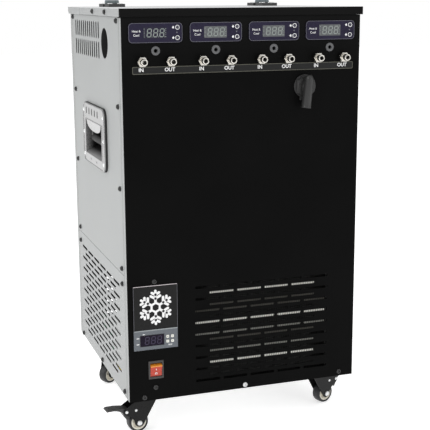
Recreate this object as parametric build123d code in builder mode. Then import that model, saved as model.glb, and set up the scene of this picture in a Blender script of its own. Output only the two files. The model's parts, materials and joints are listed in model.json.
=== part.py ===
"""Four-zone glycol chiller: an insulated bath over a refrigeration bay, on swivel casters.

The frame has its origin on the floor under the middle of the cabinet, +Z up, and the front
panel faces -Y. All sizes are in millimetres.
"""

from build123d import *
import math
import os

os.makedirs("parts", exist_ok=True)

# ---------------------------------------------------------------- driving dimensions
body_w, body_d, body_h = 406.0, 400.0, 628.0
base_z = 74.0
sheet = 1.2
panel_t = 1.5
half_w, half_d = body_w / 2, body_d / 2
top_z = base_z + body_h
front_y, rear_y = -half_d, half_d
post_out = half_w - sheet
post_in = post_out - sheet
inner_y = half_d - panel_t
post_leg, post_depth = 10.0, 38.0

bay_h = 214.0
shelf_z = base_z + 216.5
strip_w = 20.0
side_edge = half_d - strip_w - 0.4

lid_over, lid_front, lid_seam, lid_h = 3.0, 4.0, 101.0, 13.0
lid_top = top_z + lid_h
strip_rear = rear_y + 9.0

zone_x = (-148.5, -49.5, 49.5, 148.5)
display_z, grommet_z, port_z = base_z + 603.6, base_z + 576.0, base_z + 559.5
in_dx, out_dx = -23.8, 22.8
port_reach, gland_reach = 22.5, 25.0
controller_w, controller_h, controller_depth = 79.0, 28.0, 58.0
port_r, port_bore_r = 5.5, 3.1

main_x, main_z = -156.55, base_z + 106.45
main_w, main_h = 75.0, 34.3
badge_z = base_z + 161.25
rocker_x, rocker_z = -157.1, base_z + 53.15
elbow_x, elbow_z, elbow_tilt = 104.5, base_z + 513.5, 6.0

handle_z, dish_w, dish_h = base_z + 420.8, 170.0, 107.0
cup_w, cup_low, cup_high, cup_deep = 130.0, base_z + 385.0, base_z + 444.0, 19.0

tank_x, tank_front, tank_back, tank_floor = 160.0, -105.0, 85.0, 321.5
foam_x, foam_front, foam_back = 181.0, -130.0, 112.0
drop_y = foam_back + 24.0

wheel_r, wheel_w, trail = 18.0, 17.0, 19.5
caster_x, caster_front, caster_rear = 158.5, -144.0, 113.0
runner_h = 5.0
plate_top = base_z - runner_h
swivels = {
    "front_left": (-caster_x, caster_front, 187.0),
    "front_right": (caster_x + 1.0, caster_front + 5.5, 20.0),
    "rear_left": (-caster_x + 2.0, caster_rear - 10.0, 210.0),
    "rear_right": (caster_x, caster_rear, -30.0),
}

running_fit = 0.05
gap = 0.3


# ---------------------------------------------------------------- shared shapes
def block(low, high, mode=Mode.ADD):
    """A box between two corners."""
    size = [b - a for a, b in zip(low, high)]
    middle = [(a + b) / 2 for a, b in zip(low, high)]
    with Locations(tuple(middle)):
        Box(*size, mode=mode)


def rod(start, end, radius, mode=Mode.ADD):
    """A cylinder from one point to another."""
    run = Vector(*end) - Vector(*start)
    with Locations(Plane(origin=start, z_dir=run).location):
        Cylinder(radius, run.length, align=(Align.CENTER, Align.CENTER, Align.MIN), mode=mode)


def hexagon(start, end, across_flats, mode=Mode.ADD):
    """A hexagonal bar from one point to another, along X, Y or Z."""
    run = Vector(*end) - Vector(*start)
    with BuildSketch(Plane(origin=start, z_dir=run)) as outline:
        RegularPolygon(across_flats / 2, 6, major_radius=False)
    extrude(outline.sketch, amount=run.length, mode=mode)


def tube(points, radii, outer_r, bore_r=0.0):
    """A bent tube along straight runs joined by arcs."""
    with BuildLine() as route:
        FilletPolyline(*points, radius=radii)
    start = Plane(origin=route.line @ 0, z_dir=route.line % 0)
    with BuildSketch(start) as section:
        Circle(outer_r)
        if bore_r:
            Circle(bore_r, mode=Mode.SUBTRACT)
    sweep(section.sketch, path=route.line)


def slot_rows(rows, pitch, first_z, centre, counts, slot_pitch, length, height, plane):
    """Staggered rows of rounded slots, as a list of sketch locations and one sketch."""
    with BuildSketch(plane) as slots:
        for row in range(rows):
            count = counts[row % 2]
            with Locations((centre, first_z + row * pitch)):
                with GridLocations(slot_pitch, 1, count, 1):
                    SlotOverall(length, height)
    return slots.sketch


def pan_screw(point, outward, head_r=4.25, head_h=2.4, shank_r=2.0, shank=1.2):
    """A pan-head screw whose head seats at a point and whose shank runs into the sheet."""
    seat, out = Vector(*point), Vector(*outward)
    rim = seat + out * head_h * 0.45
    rod(seat - out * shank, seat, shank_r)
    rod(seat, rim, head_r)
    with Locations(Plane(origin=rim, z_dir=out).location):
        Cone(head_r, head_r * 0.6, head_h * 0.55, align=(Align.CENTER, Align.CENTER, Align.MIN))


# ---------------------------------------------------------------- screw positions
side_screws = [(-171.0, base_z + h) for h in (622.0, 488.0, 356.0, 223.4)]
side_screws += [(y, base_z + h) for y, h in ((175.0, 623.0), (168.0, 489.5), (168.0, 356.4), (168.0, 222.4))]
grille_screws = [(-171.0, base_z + 197.4), (168.0, base_z + 196.0)]
grille_screws += [(-171.0, base_z + 10.0), (168.0, base_z + 6.0), (0.0, base_z + 7.5)]
front_screws = [
    (-157.6, base_z + 204.3),
    (-158.0, base_z + 22.1),
    (-177.6, base_z + 6.4),
    (177.0, base_z + 8.0),
    (0.6, base_z + 6.2),
]
rear_screws = [(x, base_z + h) for x in (-188.0, 188.0) for h in (10.0, 214.0, 420.0, 618.0)]
screw_hole_r = 2.1


# ---------------------------------------------------------------- frame and base
# Corner posts, bath shelf, top deck and the two caster runners, all folded steel.
with BuildPart() as chassis_frame:
    for side_x in (1, -1):
        for side_y in (1, -1):
            corner = [
                (half_w, inner_y),
                (half_w - post_leg, inner_y),
                (half_w - post_leg, inner_y - sheet),
                (post_in, inner_y - sheet),
                (post_in, inner_y - post_depth),
                (post_out, inner_y - post_depth),
                (post_out, half_d - strip_w),
                (half_w, half_d - strip_w),
            ]
            with BuildSketch(Plane.XY.offset(base_z)) as post:
                with BuildLine():
                    Polyline(*[(side_x * x, side_y * y) for x, y in corner], close=True)
                make_face()
            extrude(post.sketch, amount=body_h - sheet - 0.1)
    block((-post_in + 0.1, -inner_y + 1.3, shelf_z), (post_in - 0.1, inner_y - 1.3, shelf_z + 1.5))
    for line_x in (-130, 130):
        rod((line_x, drop_y, shelf_z - 1), (line_x, drop_y, shelf_z + 3), 6, Mode.SUBTRACT)
    block((-post_out, -inner_y, top_z - sheet), (post_out, inner_y, top_z))
    block(
        (-tank_x - 2, tank_front - 2, top_z - 3),
        (tank_x + 2, tank_back + 2, top_z + 3),
        Mode.SUBTRACT,
    )
    for side in (-1, 1):
        middle = side * caster_x
        low_y, high_y = caster_front - 28, caster_rear + 28
        block((middle - 28, low_y, plate_top), (middle + 28, high_y, base_z))
        block((middle - 26, low_y - 1, plate_top + 2), (middle + 26, high_y + 1, base_z + 1), Mode.SUBTRACT)
chassis_frame.part.label = "chassis_frame"
export_step(chassis_frame.part, "parts/chassis_frame.step")

with BuildPart() as base_pan:
    block((-post_in, -inner_y + sheet, base_z), (post_in, inner_y - sheet, base_z + 20))
    block(
        (-post_in + panel_t, -inner_y + sheet + panel_t, base_z + panel_t),
        (post_in - panel_t, inner_y - sheet - panel_t, base_z + 21),
        Mode.SUBTRACT,
    )
base_pan.part.label = "base_pan"
export_step(base_pan.part, "parts/base_pan.step")

# ---------------------------------------------------------------- outer panels
front_face = Plane(origin=(0, front_y, 0), x_dir=(1, 0, 0), z_dir=(0, -1, 0))
with BuildPart() as front_panel:
    block((-half_w, front_y, base_z), (half_w, front_y + panel_t, top_z))
    with BuildSketch(front_face) as cut:
        with Locations(*[(x, display_z) for x in zone_x]):
            Rectangle(controller_w + 0.4, controller_h + 0.4)
        with Locations(*[(x, grommet_z) for x in zone_x]):
            Circle(5.6)
        with Locations(*[(x + dx, port_z) for x in zone_x for dx in (in_dx, out_dx)]):
            Circle(5.3)
        with Locations((elbow_x, elbow_z)):
            Circle(11)
        with Locations((main_x, main_z)):
            Rectangle(71.4, 29.4)
        with Locations((rocker_x, rocker_z)):
            Rectangle(22, 28)
        with Locations(*front_screws):
            Circle(screw_hole_r)
    extrude(cut.sketch, amount=-panel_t, mode=Mode.SUBTRACT)
    vents = slot_rows(17, 10.19, base_z + 24.0, 32.2, (5, 4), 49.2, 43.2, 4.5, front_face)
    extrude(vents, amount=-panel_t, mode=Mode.SUBTRACT)
front_panel.part.label = "front_panel"
export_step(front_panel.part, "parts/front_panel.step")

# The side plane's X axis is the frame's Y, so a sketch there reads (y, z).
side_plane = Plane(origin=(-half_w, 0, 0), x_dir=(0, 1, 0), z_dir=(1, 0, 0))
with BuildPart() as side_panels:
    block((-half_w, -side_edge, base_z + bay_h - 0.3), (-half_w + sheet, side_edge, top_z - 0.3))
    with BuildSketch(side_plane) as cut:
        for row_z in (base_z + 604.2, base_z + 570.8):
            with Locations((57.5, row_z)):
                with GridLocations(17.4, 1, 12, 1):
                    SlotOverall(28.6, 9.0, rotation=90)
        with Locations((-82, base_z + 584)):
            Circle(25)
        with Locations((0, (cup_low + cup_high) / 2)):
            Rectangle(cup_w + 3.2, cup_high - cup_low + 3.2)
        with Locations(*side_screws):
            Circle(screw_hole_r)
    extrude(cut.sketch, amount=sheet, mode=Mode.SUBTRACT)
    mirror(about=Plane.YZ)
side_panels.part.label = "side_panels"
export_step(side_panels.part, "parts/side_panels.step")

with BuildPart() as side_grilles:
    block((-half_w, -side_edge, base_z), (-half_w + sheet, side_edge, base_z + bay_h - 1.1))
    grille = slot_rows(16, 10.81, base_z + 25.8, 5.0, (5, 6), 51.9, 43.5, 4.7, side_plane)
    extrude(grille, amount=sheet, mode=Mode.SUBTRACT)
    with BuildSketch(side_plane) as cut:
        with Locations(*grille_screws):
            Circle(screw_hole_r)
    extrude(cut.sketch, amount=sheet, mode=Mode.SUBTRACT)
    mirror(about=Plane.YZ)
side_grilles.part.label = "side_grilles"
export_step(side_grilles.part, "parts/side_grilles.step")

rear_face = Plane(origin=(0, rear_y, 0), x_dir=(-1, 0, 0), z_dir=(0, 1, 0))
gland_x, gland_z = 150.0, base_z + 60.0
with BuildPart() as rear_panel:
    block((-half_w, rear_y - panel_t, base_z), (half_w, rear_y, top_z))
    louvres = slot_rows(12, 12.0, base_z + 34.0, 30.0, (5, 4), 49.2, 43.2, 5.0, rear_face)
    extrude(louvres, amount=-panel_t, mode=Mode.SUBTRACT)
    with BuildSketch(rear_face) as cut:
        with Locations((-gland_x, gland_z)):
            Circle(10)
        with Locations(*rear_screws):
            Circle(screw_hole_r)
    extrude(cut.sketch, amount=-panel_t, mode=Mode.SUBTRACT)
rear_panel.part.label = "rear_panel"
export_step(rear_panel.part, "parts/rear_panel.step")

with BuildPart() as rear_top_strip:
    block((-half_w - lid_over, lid_seam + 0.4, top_z), (half_w + lid_over, strip_rear, lid_top))
    lower_rear = rear_top_strip.edges().filter_by(Axis.X).group_by(Axis.Z)[0].sort_by(Axis.Y)[-1]
    chamfer(lower_rear, 5)
    block(
        (-half_w - lid_over + sheet, lid_seam, top_z + sheet),
        (half_w + lid_over - sheet, strip_rear - 6.5, lid_top - sheet),
        Mode.SUBTRACT,
    )
rear_top_strip.part.label = "rear_top_strip"
export_step(rear_top_strip.part, "parts/rear_top_strip.step")

# ---------------------------------------------------------------- bath
hose_z = port_z
ports = [x + dx for x in zone_x for dx in (in_dx, out_dx)]
tank_port = {x: x * 0.8 for x in ports}
hose_r, hose_bore_r = 5.0, 3.2
coil_x, coil_y, coil_low, coil_r = 130.0, 62.0, 400.0, 4.5
coil_out_z = 664.0

with BuildPart() as reservoir_tank:
    wall = sheet
    block(
        (-tank_x - wall, tank_front - wall, tank_floor - wall),
        (tank_x + wall, tank_back + wall, top_z),
    )
    block((-tank_x - 9, tank_front - 9, top_z), (tank_x + 9, tank_back + 9, top_z + 1.0))
    block((-tank_x, tank_front, tank_floor), (tank_x, tank_back, top_z + 2), Mode.SUBTRACT)
    rod_y = tank_front - 5
    for x in tank_port.values():
        rod((x, rod_y, hose_z), (x, rod_y + 10, hose_z), hose_r + 0.15, Mode.SUBTRACT)
    for x in (-coil_x, coil_x):
        rod((x, tank_back - 5, coil_out_z), (x, tank_back + 5, coil_out_z), coil_r + 0.15, Mode.SUBTRACT)
reservoir_tank.part.label = "reservoir_tank"
export_step(reservoir_tank.part, "parts/reservoir_tank.step")

with BuildPart() as tank_insulation:
    block((-foam_x, foam_front, shelf_z + panel_t), (foam_x, foam_back, top_z - sheet))
    block(
        (-tank_x - wall - 0.2, tank_front - wall - 0.2, tank_floor - wall),
        (tank_x + wall + 0.2, tank_back + wall + 0.2, top_z),
        Mode.SUBTRACT,
    )
    for x in tank_port.values():
        rod((x, foam_front - 2, hose_z), (x, tank_front, hose_z), hose_r + 0.15, Mode.SUBTRACT)
    for x in (-coil_x, coil_x):
        rod((x, tank_back, coil_out_z), (x, foam_back + 2, coil_out_z), coil_r + 0.15, Mode.SUBTRACT)
tank_insulation.part.label = "tank_insulation"
export_step(tank_insulation.part, "parts/tank_insulation.step")

coil_rows, coil_pitch, coil_half = 7, 30.0, 105.0
line_end_y = foam_back + 3
with BuildPart() as evaporator_coil:
    route = [(-coil_x, line_end_y, coil_out_z), (-coil_x, coil_y, coil_out_z), (-coil_x, coil_y, coil_low)]
    for row in range(coil_rows):
        height = coil_low + row * coil_pitch
        ends = [(-coil_half, coil_y, height), (coil_half, coil_y, height)]
        if row % 2:
            ends.reverse()
        if row == 0:
            ends = ends[1:]
        if row == coil_rows - 1:
            ends = ends[:1]
        route += ends
    last_z = coil_low + (coil_rows - 1) * coil_pitch
    route += [(coil_x, coil_y, last_z), (coil_x, coil_y, coil_out_z), (coil_x, line_end_y, coil_out_z)]
    tube(route, [12.0] * (len(route) - 2), coil_r)
evaporator_coil.part.label = "evaporator_coil"
export_step(evaporator_coil.part, "parts/evaporator_coil.step")

pump_y, pump_top = -84.0, 366.0
with BuildPart() as circulation_pumps:
    for x in [tank_port[zone + out_dx] for zone in zone_x]:
        block((x - 19, pump_y - 19, tank_floor), (x + 19, pump_y + 21, tank_floor + 32))
        rod((x, pump_y, tank_floor + 31), (x, pump_y, pump_top), 6.5)
circulation_pumps.part.label = "circulation_pumps"
export_step(circulation_pumps.part, "parts/circulation_pumps.step")

fitting_back = front_y + 12
with BuildPart() as pump_hoses:
    for x in ports:
        inner = tank_port[x]
        path = [(x, fitting_back, hose_z), (x, -172, hose_z), (inner, -140, hose_z)]
        if x in [zone + out_dx for zone in zone_x]:
            path += [(inner, pump_y, hose_z), (inner, pump_y, pump_top)]
            bends = [10.0, 12.0, 14.0]
        else:
            path += [(inner, -92, hose_z)]
            bends = [10.0, 12.0]
        tube(path, bends, hose_r, hose_bore_r)
pump_hoses.part.label = "pump_hoses"
export_step(pump_hoses.part, "parts/pump_hoses.step")

# ---------------------------------------------------------------- refrigeration bay
comp_x, comp_y, comp_r, comp_low, comp_top = -72.0, 62.0, 68.0, 92.0, 252.0
with BuildPart() as compressor:
    rod((comp_x, comp_y, comp_low), (comp_x, comp_y, comp_top), comp_r)
    rims = compressor.edges().filter_by(GeomType.CIRCLE).sort_by(Axis.Z)
    fillet(rims[0], 16)
    fillet(rims[-1], 34)
    block((comp_x - 78, comp_y - 52, comp_low - 3), (comp_x + 78, comp_y + 52, comp_low + 1))
    for dx in (-66, 66):
        for dy in (-40, 40):
            foot = (comp_x + dx, comp_y + dy)
            rod((*foot, base_z + panel_t), (*foot, comp_low - 2), 11)
    for dx in (-40, 40):
        rod((comp_x + dx, comp_y, comp_top - 50), (comp_x + dx, comp_y, 266), 5.5)
compressor.part.label = "compressor"
export_step(compressor.part, "parts/compressor.step")

cond_x, cond_half, cond_front, cond_back = 33.0, 124.0, -192.0, -149.0
cond_low, cond_high = base_z + 8, base_z + 200
with BuildPart() as condenser:
    block(
        (cond_x - cond_half + 3, cond_front + 2, cond_low + 4),
        (cond_x + cond_half - 3, cond_back - 2, cond_high - 4),
    )
    for side in (-1, 1):
        end = cond_x + side * cond_half
        near, far = sorted((end, end - side * 3))
        block((near, cond_front, cond_low), (far, cond_back, cond_high))
condenser.part.label = "condenser"
export_step(condenser.part, "parts/condenser.step")

fan_z, fan_r, shroud_y = (cond_low + cond_high) / 2, 80.0, -147.0
ring_depth, motor_depth, motor_r = 36.0, 42.0, 30.0
motor_y = shroud_y + ring_depth - 3
with BuildPart() as fan_shroud:
    block(
        (cond_x - cond_half, shroud_y, cond_low),
        (cond_x + cond_half, shroud_y + 1.5, cond_high),
    )
    rod((cond_x, shroud_y, fan_z), (cond_x, shroud_y + ring_depth, fan_z), fan_r + 8)
    rod((cond_x, shroud_y - 1, fan_z), (cond_x, shroud_y + ring_depth + 1, fan_z), fan_r + 5, Mode.SUBTRACT)
    for turn in range(3):
        angle = math.radians(90 + 120 * turn)
        radial = Vector(math.cos(angle), 0, math.sin(angle))
        middle = Vector(cond_x, motor_y + 1.5, fan_z) + radial * (fan_r + 27) / 2
        arm = Plane(origin=middle, x_dir=radial, z_dir=(0, 1, 0))
        with Locations(arm.location):
            Box(fan_r - 15, 9, 3)
    rod((cond_x, motor_y, fan_z), (cond_x, motor_y + motor_depth, fan_z), motor_r)
    rod((cond_x, motor_y + 1, fan_z), (cond_x, shroud_y + 6, fan_z), 3)
fan_shroud.part.label = "fan_shroud"
export_step(fan_shroud.part, "parts/fan_shroud.step")

with BuildPart() as fan_blades:
    rod((cond_x, shroud_y + 6, fan_z), (cond_x, shroud_y + 29, fan_z), 20)
    for turn in range(5):
        angle = 72 * turn + 18
        radial = Vector(math.cos(math.radians(angle)), 0, math.sin(math.radians(angle)))
        root = Vector(cond_x, shroud_y + 18, fan_z) + radial * 48
        blade = Plane(origin=root, x_dir=radial, z_dir=(0, 1, 0))
        with Locations(blade.location * Location((0, 0, 0), (28, 0, 0))):
            Box(60, 40, 2)
    rod((cond_x, -150, fan_z), (cond_x, -100, fan_z), 3 + running_fit, Mode.SUBTRACT)
fan_blades.part.label = "fan_blades"
export_step(fan_blades.part, "parts/fan_blades.step")

line_r = 4.0
with BuildPart() as refrigerant_lines:
    suction_x, discharge_x = comp_x - 40, comp_x + 40
    suction = [
        (-coil_x, line_end_y, coil_out_z),
        (-coil_x, drop_y, coil_out_z),
        (-coil_x, drop_y, 281),
        (suction_x, comp_y, 281),
        (suction_x, comp_y, 266),
    ]
    tube(suction, [14.0, 9.0, 8.0], line_r)
    cond_end = cond_x + cond_half
    discharge = [
        (discharge_x, comp_y, 266),
        (discharge_x, comp_y, 281),
        (cond_end + 20, comp_y - 20, 281),
        (cond_end + 20, cond_back - 20, 250),
        (cond_end, cond_back - 20, 250),
    ]
    tube(discharge, [8.0, 14.0, 9.0], line_r)
    liquid = [
        (cond_end, cond_back - 20, 110),
        (cond_end + 20, cond_back - 20, 110),
        (cond_end + 20, drop_y, 110),
        (coil_x, drop_y, 160),
        (coil_x, drop_y, coil_out_z),
        (coil_x, line_end_y, coil_out_z),
    ]
    tube(liquid, [9.0, 14.0, 14.0, 14.0], line_r)
refrigerant_lines.part.label = "refrigerant_lines"
export_step(refrigerant_lines.part, "parts/refrigerant_lines.step")

with BuildPart() as control_box:
    block((-192, -128, base_z + 6), (-112, -62, base_z + 106))
    block((-186, -122, base_z + 106), (-118, -68, base_z + 112))
    for y in (-112, -95, -78):
        rod((-192, y, base_z + 30), (-196, y, base_z + 30), 6)
control_box.part.label = "control_box"
export_step(control_box.part, "parts/control_box.step")

with BuildPart() as cord_gland:
    hexagon((gland_x, rear_y, gland_z), (gland_x, rear_y + 5, gland_z), 24)
    rod((gland_x, rear_y + 5, gland_z), (gland_x, rear_y + 9, gland_z), 9)
    rod((gland_x, rear_y + 9, gland_z), (gland_x, rear_y + gland_reach, gland_z), 10.5)
    chamfer(cord_gland.edges().sort_by(Axis.Y)[-1], 4)
    rod((gland_x, rear_y - 9, gland_z), (gland_x, rear_y, gland_z), 9.8)
    hexagon((gland_x, rear_y - 6.5, gland_z), (gland_x, rear_y - panel_t, gland_z), 24)
    rod((gland_x, rear_y - 10, gland_z), (gland_x, rear_y + 26, gland_z), 4.2, Mode.SUBTRACT)
cord_gland.part.label = "cord_gland"
export_step(cord_gland.part, "parts/cord_gland.step")

# ---------------------------------------------------------------- front fittings
with BuildPart() as port_fittings:
    for x in ports:
        rod((x, front_y, port_z), (x, front_y - 13, port_z), port_r - 0.5)
        hexagon((x, front_y - 5, port_z), (x, front_y - 11, port_z), 14.5)
        rod((x, front_y - 13, port_z), (x, front_y - port_reach, port_z), port_r)
        rod((x, front_y, port_z), (x, fitting_back, port_z), 5.2)
        hexagon((x, front_y + panel_t, port_z), (x, front_y + 5.5, port_z), 14.5)
        rod((x, front_y - port_reach - 1, port_z), (x, fitting_back + 1, port_z), port_bore_r, Mode.SUBTRACT)
port_fittings.part.label = "port_fittings"
export_step(port_fittings.part, "parts/port_fittings.step")

grommet_bore_r = 3.0
with BuildPart() as probe_grommets:
    for x in zone_x:
        rod((x, front_y - 1.8, grommet_z), (x, front_y, grommet_z), 7.15)
        rod((x, front_y, grommet_z), (x, front_y + panel_t, grommet_z), 5.5)
        rod((x, front_y + panel_t, grommet_z), (x, front_y + 3.3, grommet_z), 7.15)
        rod((x, front_y - 3, grommet_z), (x, front_y + 4, grommet_z), grommet_bore_r, Mode.SUBTRACT)
probe_grommets.part.label = "probe_grommets"
export_step(probe_grommets.part, "parts/probe_grommets.step")

overlay_w, overlay_h, overlay_t = 87.0, 30.6, 2.0
zone_key_dx, zone_key_dz = 35.0, (8.1, -7.9)
key_hole_r, key_r = 4.15, 3.95
with BuildPart() as zone_controllers:
    for x in zone_x:
        with BuildSketch(front_face) as overlay:
            with Locations((x, display_z)):
                RectangleRounded(overlay_w, overlay_h, 6)
        extrude(overlay.sketch, amount=overlay_t)
        block(
            (x - controller_w / 2, front_y, display_z - controller_h / 2),
            (x + controller_w / 2, front_y + controller_depth, display_z + controller_h / 2),
        )
        for dz in zone_key_dz:
            key = (x + zone_key_dx, display_z + dz)
            rod((key[0], front_y - 3, key[1]), (key[0], front_y + 1.0, key[1]), key_hole_r, Mode.SUBTRACT)
zone_controllers.part.label = "zone_controllers"
export_step(zone_controllers.part, "parts/zone_controllers.step")

main_proud = 2.5
main_keys = [(x, base_z + h) for h in (109.6, 101.4) for x in (-136.9, -128.6)]
with BuildPart() as main_controller:
    block(
        (main_x - main_w / 2, front_y - main_proud, main_z - main_h / 2),
        (main_x + main_w / 2, front_y, main_z + main_h / 2),
    )
    chamfer(main_controller.faces().sort_by(Axis.Y)[0].edges(), 0.8)
    block((main_x - 35.5, front_y, main_z - 14.5), (main_x + 35.5, front_y + 58, main_z + 14.5))
    for x, z in main_keys:
        block((x - 2.6, front_y - 4, z - 2.6), (x + 2.6, front_y + 1.5, z + 2.6), Mode.SUBTRACT)
main_controller.part.label = "main_controller"
export_step(main_controller.part, "parts/main_controller.step")

for number, (x, z) in enumerate(main_keys, start=1):
    name = f"main_key_{number}"
    with BuildPart() as key:
        block((x - 2.4, front_y - 3.3, z - 2.4), (x + 2.4, front_y, z + 2.4))
        fillet(key.edges().filter_by(Axis.Y), 1)
    key.part.label = name
    export_step(key.part, f"parts/{name}.step")

for zone, x in enumerate(zone_x, start=1):
    for place, dz in zip(("upper", "lower"), zone_key_dz):
        name = f"zone_{zone}_key_{place}"
        z = display_z + dz
        with BuildPart() as key:
            rod((x + zone_key_dx, front_y, z), (x + zone_key_dx, front_y - 2.9, z), key_r)
            chamfer(key.edges().sort_by(Axis.Y)[0], 0.5)
        key.part.label = name
        export_step(key.part, f"parts/{name}.step")

with BuildPart() as badge_plate:
    block((main_x - 37.5, front_y - 2, badge_z - 37.6), (main_x + 37.5, front_y, badge_z + 37.6))
    chamfer(badge_plate.faces().sort_by(Axis.Y)[0].edges(), 0.9)
badge_plate.part.label = "badge_plate"
export_step(badge_plate.part, "parts/badge_plate.step")

# Rocker switch: the rocker turns about X, and rests with its lower end pressed in.
rocker_w, rocker_end, rocker_depth, rocker_tilt = 19.8, 9.6, 9.4, 11.0
pivot_y, pivot_r = front_y + 7.0, 1.5
with BuildPart() as switch_housing:
    block((rocker_x - 13, front_y - 1.8, rocker_z - 15.75), (rocker_x + 13, front_y, rocker_z + 15.75))
    chamfer(switch_housing.faces().sort_by(Axis.Y)[0].edges(), 0.7)
    block((rocker_x - 10.9, front_y, rocker_z - 13.9), (rocker_x + 10.9, front_y + 22, rocker_z + 13.9))
    block(
        (rocker_x - 10.1, front_y - 3, rocker_z - 11.9),
        (rocker_x + 10.1, front_y + 16, rocker_z + 11.9),
        Mode.SUBTRACT,
    )
    for side in (-1, 1):
        rod(
            (rocker_x + side * 10.5, pivot_y, rocker_z),
            (rocker_x + side * 8.0, pivot_y, rocker_z),
            pivot_r,
        )
    for dz in (-8, 0, 8):
        middle = rocker_z + dz
        block((rocker_x - 3, front_y + 22, middle - 0.4), (rocker_x + 3, front_y + 30, middle + 0.4))
switch_housing.part.label = "switch_housing"
export_step(switch_housing.part, "parts/switch_housing.step")

tilt = math.radians(rocker_tilt)
rocker_profile = [
    (-rocker_end, rocker_depth),
    (0.0, rocker_depth - 1.2),
    (rocker_end, rocker_depth),
    (10.6, 2.0),
    (6.0, -4.0),
    (-6.0, -4.0),
    (-10.6, 2.0),
]
with BuildPart() as power_rocker:
    # In this plane X is the frame's Z and Y points out of the panel, along -Y.
    side_on = Plane(origin=(rocker_x - rocker_w / 2, pivot_y, rocker_z), x_dir=(0, 0, 1), z_dir=(1, 0, 0))
    out_sign = -side_on.y_dir.Y
    turned = [
        (
            along * math.cos(tilt) - out * math.sin(tilt),
            (along * math.sin(tilt) + out * math.cos(tilt)) * out_sign,
        )
        for along, out in rocker_profile
    ]
    with BuildSketch(side_on) as profile:
        with BuildLine():
            Polyline(*turned, close=True)
        make_face()
    extrude(profile.sketch, amount=rocker_w)
    for side in (-1, 1):
        end = rocker_x + side * rocker_w / 2
        rod(
            (end + side, pivot_y, rocker_z),
            (end - side * 2.2, pivot_y, rocker_z),
            pivot_r + running_fit,
            Mode.SUBTRACT,
        )
power_rocker.part.label = "power_rocker"
export_step(power_rocker.part, "parts/power_rocker.step")

# Drain elbow: a flanged bushing through the panel, and a spout that turns in it about Y and
# hangs a little to one side.
elbow_neck_r, elbow_axis_y = 9.0, front_y - 15.5
with BuildPart() as elbow_bushing:
    rod((elbow_x, front_y, elbow_z), (elbow_x, front_y - 2, elbow_z), 19)
    hexagon((elbow_x, front_y - 2, elbow_z), (elbow_x, front_y - 6.4, elbow_z), 31)
    rod((elbow_x, front_y, elbow_z), (elbow_x, front_y + 14, elbow_z), 10.8)
    hexagon((elbow_x, front_y + panel_t, elbow_z), (elbow_x, front_y + 7, elbow_z), 28)
    block((elbow_x - 9, front_y - 4.5, elbow_z - 22.5), (elbow_x - 1, front_y, elbow_z - 15))
    rod(
        (elbow_x, front_y - 8, elbow_z),
        (elbow_x, front_y + 15, elbow_z),
        elbow_neck_r + running_fit,
        Mode.SUBTRACT,
    )
elbow_bushing.part.label = "elbow_bushing"
export_step(elbow_bushing.part, "parts/elbow_bushing.step")

spout_top, spout_low = elbow_z + 19.0, elbow_z - 34.5
spout_top_r, spout_low_r, spout_bore_r, neck_bore_r = 7.2, 8.3, 5.4, 5.0
with BuildPart() as elbow_spout:
    spout_plane = Plane(origin=(elbow_x, elbow_axis_y, 0), x_dir=(1, 0, 0), z_dir=(0, -1, 0))
    with BuildSketch(spout_plane) as half:
        with BuildLine():
            Polyline(
                (0, spout_low),
                (spout_low_r, spout_low),
                (spout_low_r, spout_low + 2),
                (spout_low_r - 0.4, spout_low + 3),
                (spout_top_r, spout_top - 5),
                (spout_top_r - 2, spout_top - 1.4),
                (spout_top_r - 4.2, spout_top),
                (0, spout_top),
                close=True,
            )
        make_face()
    revolve(half.sketch, axis=Axis((elbow_x, elbow_axis_y, 0), (0, 0, 1)))
    rod((elbow_x, elbow_axis_y + 1, elbow_z), (elbow_x, front_y + 16, elbow_z), elbow_neck_r)
    rod((elbow_x, elbow_axis_y, elbow_z + 4), (elbow_x, elbow_axis_y, spout_low - 1), spout_bore_r, Mode.SUBTRACT)
    rod((elbow_x, elbow_axis_y, elbow_z), (elbow_x, front_y + 17, elbow_z), neck_bore_r, Mode.SUBTRACT)
spout = elbow_spout.part.rotate(Axis((elbow_x, 0, elbow_z), (0, 1, 0)), elbow_tilt)
spout.label = "elbow_spout"
export_step(spout, "parts/elbow_spout.step")

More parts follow.
